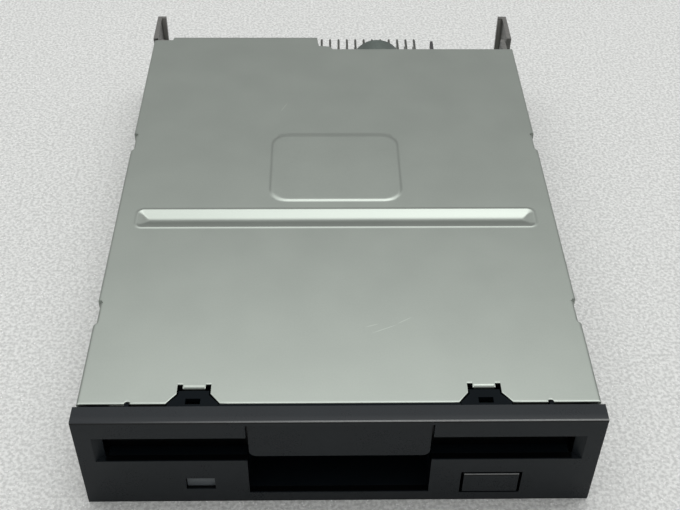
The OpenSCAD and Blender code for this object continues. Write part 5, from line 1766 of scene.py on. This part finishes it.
@dataclass
class Electronics:
    """Header pins, chip legs and small parts of the main board."""

    pin_half: float = 0.32
    tip_half: float = 0.16
    tip: float = 0.9
    bend: float = 0.55
    leg: Point = (0.36, 0.15, 0.95)
    leg_root: float = 0.1
    leg_knees: tuple[Flat, ...] = ((0.25, 0.75), (0.5, 0.2), (0.62, 0.02), (1.0, 0.02))
    leg_margin: float = 1.0
    chips: tuple[tuple[str, float, float], ...] = (("controller_chip", 0.8, 0.0), ("driver_chip", 1.27, 90.0))
    bend_steps: int = 4
    foot: float = 0.5
    same_row: float = 0.02
    body_soft: Flat = (0.15, 0.06)
    cap_soft: float = 0.05
    board_top: float = 8.0
    chip_part: Point = (2.0, 1.2, 0.5)
    cap_end: float = 0.35
    rows: tuple[tuple[float, float, float, float, int], ...] = (
        (-36.5, 137.6, 3.1, 0.0, 7), (-43.6, 118.5, 0.0, 3.4, 6),
        (43.2, 120.6, 0.0, 3.4, 4), (-14.6, 137.6, 3.1, 0.0, 5))

    def bent_pin(self, low: Point, high: Point) -> bpy.types.Mesh:
        """A square pin from its leg in the board, round a bend, to its pointed tip.

        Args:
            low: lowest corner of the solid pin.
            high: its highest corner.

        Returns:
            The mesh.
        """
        half, y, z = self.pin_half, low[1] + self.pin_half, high[2] - self.pin_half
        spine = [(y, low[2], 0.0, self.tip_half), (y, low[2] + self.foot, 0.0, half)]
        spine += [(y + self.bend * (1 - math.cos(a)), z - self.bend * (1 - math.sin(a)), a, half)
                  for a in quarter(self.bend_steps)]
        spine += [(high[1] - self.tip, z, math.pi / 2, half), (high[1], z, math.pi / 2, self.tip_half)]
        blank = Blank()
        blank.loft([[(side * h, py - s * h * math.cos(a), pz + s * h * math.sin(a))
                     for side, s in ((-1, -1), (1, -1), (1, 1), (-1, 1))] for py, pz, a, h in spine])
        return blank.mesh("pin", 20)

    def pins(self, shop: Shop) -> None:
        """The pins of both headers, one piece a row.

        Args:
            shop: makes and seats the pieces.
        """
        for node in ("signal_pins", "power_pins"):
            boxes = islands(node)
            levels = sorted({round(high[2], 2) for _, high in boxes})
            made = []
            for level in levels:
                row = [b for b in boxes if abs(b[1][2] - level) < self.same_row]
                shape = self.bent_pin(*row[0])
                spots = [((low[0] + high[0]) / 2, 0, 0) for low, high in row]
                made.append(shop.repeat(f"{node}.row{len(made) + 1}", shape, spots, "pin_metal"))
            for obj in made:
                shop.seat(obj, "frame", "pin_metal", node)

    def gull_leg(self) -> bpy.types.Mesh:
        """One bent chip leg that points to +y, with its foot at z = 0.

        Returns:
            The mesh.
        """
        width, thick, reach = self.leg
        path = [(-self.leg_root, self.leg_knees[0][1]), *((share * reach, z) for share, z in self.leg_knees)]
        section = ((-1, 0), (1, 0), (1, thick), (-1, thick))
        blank = Blank()
        blank.loft([[(s * width / 2, y, z + k) for s, k in section] for y, z in path])
        return blank.mesh("leg", 30)

    def legs(self, shop: Shop) -> None:
        """The legs along two sides of both chips.

        Args:
            shop: makes and seats the pieces.
        """
        for node, pitch, turn in self.chips:
            low, high = node_box(node)
            along, across = (0, 1) if turn == 0 else (1, 0)
            spots, turns = [], []
            room = high[along] - low[along] - self.leg_margin
            count = int(room / pitch)
            for k in range(count + 1):
                place = (low[along] + high[along]) / 2 + (k - count / 2) * pitch
                for edge, angle in ((high[across], turn * -1.0), (low[across], 180.0 - turn)):
                    spot = [0.0, 0.0, self.board_top]
                    spot[along], spot[across] = place, edge
                    spots.append(tuple(spot))
                    turns.append(angle)
            obj = shop.repeat(node + ".legs", self.gull_leg(), spots, "pin_metal", turns)
            shop.seat(obj, "frame", "pin_metal")

    def chip_parts(self, shop: Shop) -> None:
        """Small resistors on the board: dark bodies with bright ends.

        Args:
            shop: makes and seats the pieces.
        """
        long, wide, high = self.chip_part
        spots = [(x + k * dx, y + k * dy, self.board_top) for x, y, dx, dy, n in self.rows for k in range(n)]
        turns = [90.0 if dx else 0.0 for _, _, dx, _, n in self.rows for _ in range(n)]
        end = long / 2 - self.cap_end
        body, caps = Blank(), Blank()
        inset, drop = self.body_soft
        body.cells((-end, -end + inset, end - inset, end), (-wide / 2, wide / 2), (0, high - drop, high),
                   lambda x, y, z: z < high - drop or abs(x) < end - inset)
        soft = self.cap_soft
        for side in (-1, 1):
            rings = [[(side * u, v, w) for v, w in ((-y, 0), (y, 0), (y, z), (-y, z))]
                     for u, y, z in ((end, wide / 2, high), (long / 2 - soft, wide / 2, high),
                                     (long / 2, wide / 2 - soft, high - soft))]
            caps.loft(rings)
        for name, blank, slot in (("board_resistors.bodies", body, "black_plastic"),
                                  ("board_resistors.ends", caps, "pin_metal")):
            shop.seat(shop.repeat(name, blank.mesh(name), spots, slot, turns), "frame", slot)

    def build(self, shop: Shop) -> None:
        """Makes pins, legs and small parts.

        Args:
            shop: makes and seats the pieces.
        """
        self.pins(shop)
        self.legs(shop)
        self.chip_parts(shop)


@dataclass
class Studio:
    """Camera, floor and light."""

    eye: Point = (-3.365, -124.671, 182.631)
    yaw: float = 1.344
    pitch: float = 42.616
    roll: float = 0.728
    lens: float = 55.92
    sensor: float = 36.0
    floor_size: float = 20.0
    floor_drop: float = 0.05
    clip: float = 0.005
    foam_scale: float = 1300.0
    foam_detail: float = 3.0
    foam_band: Flat = (0.34, 0.66)
    foam_dark: Colour = (0.53, 0.537, 0.525)
    foam_light: Colour = (0.74, 0.75, 0.733)
    foam_rough: float = 0.45
    foam_relief: Flat = (0.3, 0.9)
    glint_scale: float = 800.0
    glint_band: Flat = (0.05, 0.24)
    glint_colour: Colour = (1.0, 1.0, 0.99)
    glint_share: float = 0.9
    glint_rise: float = 0.4
    sky: tuple[Flat, ...] = (
        (0.0, 0.15), (0.10, 0.152), (0.45, 0.170), (0.52, 0.185), (0.60, 0.200),
        (0.65, 0.212), (0.71, 0.287), (0.77, 0.455), (0.93, 0.84), (1.0, 1.0))
    level: float = 3.7
    front_share: float = 0.45
    turn_over: Flat = (-0.06, 0.28)
    lean: float = 1.1
    lean_from: Flat = (0.80, 0.95)

    def camera(self) -> None:
        """Sets the camera to the photograph's view."""
        yaw, pitch, roll = (math.radians(a) for a in (self.yaw, self.pitch, self.roll))
        forward = Vector((math.sin(yaw) * math.cos(pitch), math.cos(yaw) * math.cos(pitch), -math.sin(pitch)))
        right = Vector((math.cos(yaw), -math.sin(yaw), 0))
        up = right.cross(forward)
        side = math.cos(roll) * right + math.sin(roll) * up
        head = -math.sin(roll) * right + math.cos(roll) * up
        data = bpy.data.cameras.new("camera")
        data.lens = self.lens
        data.sensor_width = self.sensor
        data.sensor_fit = "HORIZONTAL"
        data.clip_start = self.clip
        obj = bpy.data.objects.new("camera", data)
        turned = Matrix((side, head, -forward)).transposed().to_4x4()
        obj.matrix_world = Matrix.Translation(at(*self.eye)) @ turned
        bpy.context.scene.collection.objects.link(obj)
        bpy.context.scene.camera = obj

    def floor(self) -> None:
        """Lays the pale floor of fine foam."""
        bm = bmesh.new()
        bmesh.ops.create_grid(bm, x_segments=1, y_segments=1, size=self.floor_size,
                              matrix=Matrix.Translation((0, 0, -self.floor_drop * MM)))
        mesh = bpy.data.meshes.new("floor")
        bm.to_mesh(mesh)
        bm.free()
        obj = bpy.data.objects.new("floor", mesh)
        bpy.context.scene.collection.objects.link(obj)
        paint = Paint("pale_foam")
        bubbles = paint.noise(self.foam_scale, self.foam_detail)
        glints = 1 - paint.cells(self.glint_scale).band(*self.glint_band)
        tone = paint.mix(bubbles.band(*self.foam_band), self.foam_dark, self.foam_light)
        colour = paint.mix(glints * self.glint_share, tone, self.glint_colour)
        paint.set(Base_Color=colour, Roughness=self.foam_rough)
        relief, strength = self.foam_relief
        paint.bump(bubbles + glints * self.glint_rise, relief * MM, strength)
        mesh.materials.append(paint.material)

    def light(self) -> None:
        """Lights the scene with a sky that is brightest overhead and dim on the front side."""
        world = bpy.data.worlds.new("sky")
        bpy.context.scene.world = world
        world.use_nodes = True
        tree = Tree(world.node_tree)
        back = next(n for n in world.node_tree.nodes if n.type == "BACKGROUND")
        where = tree.node("ShaderNodeTexCoord", output="Generated")
        rise = tree.node("ShaderNodeSeparateXYZ", {}, {0: where}, "Z")
        behind = tree.node("ShaderNodeSeparateXYZ", {}, {0: where}, "Y").band(*self.turn_over)
        right = tree.node("ShaderNodeSeparateXYZ", {}, {0: where}, "X")
        level = tree.node("ShaderNodeValToRGB", {"stops": self.sky}, {0: rise})
        tree.feed(back.inputs["Color"], level)
        share = self.front_share + (1 - self.front_share) * behind
        leaning = 1 + self.lean * right * rise.band(*self.lean_from)
        tree.feed(back.inputs["Strength"], share * leaning * self.level)
        bpy.context.scene.view_settings.view_transform = "Standard"

    def build(self) -> None:
        """Sets up camera, floor and light."""
        self.camera()
        self.floor()
        self.light()


def main() -> None:
    """Builds the pieces in order."""
    logging.basicConfig(level=logging.INFO, format="%(name)s: %(message)s")
    Studio().build()
    palette = Palette(FINISHES)
    palette.dress_solids()
    shop = Shop(palette)
    for part in (TopCover(), Bezel(), FrontMoves(), Springs(), Fasteners(), Electronics()):
        part.build(shop)


if __name__ == "__main__":
    main()
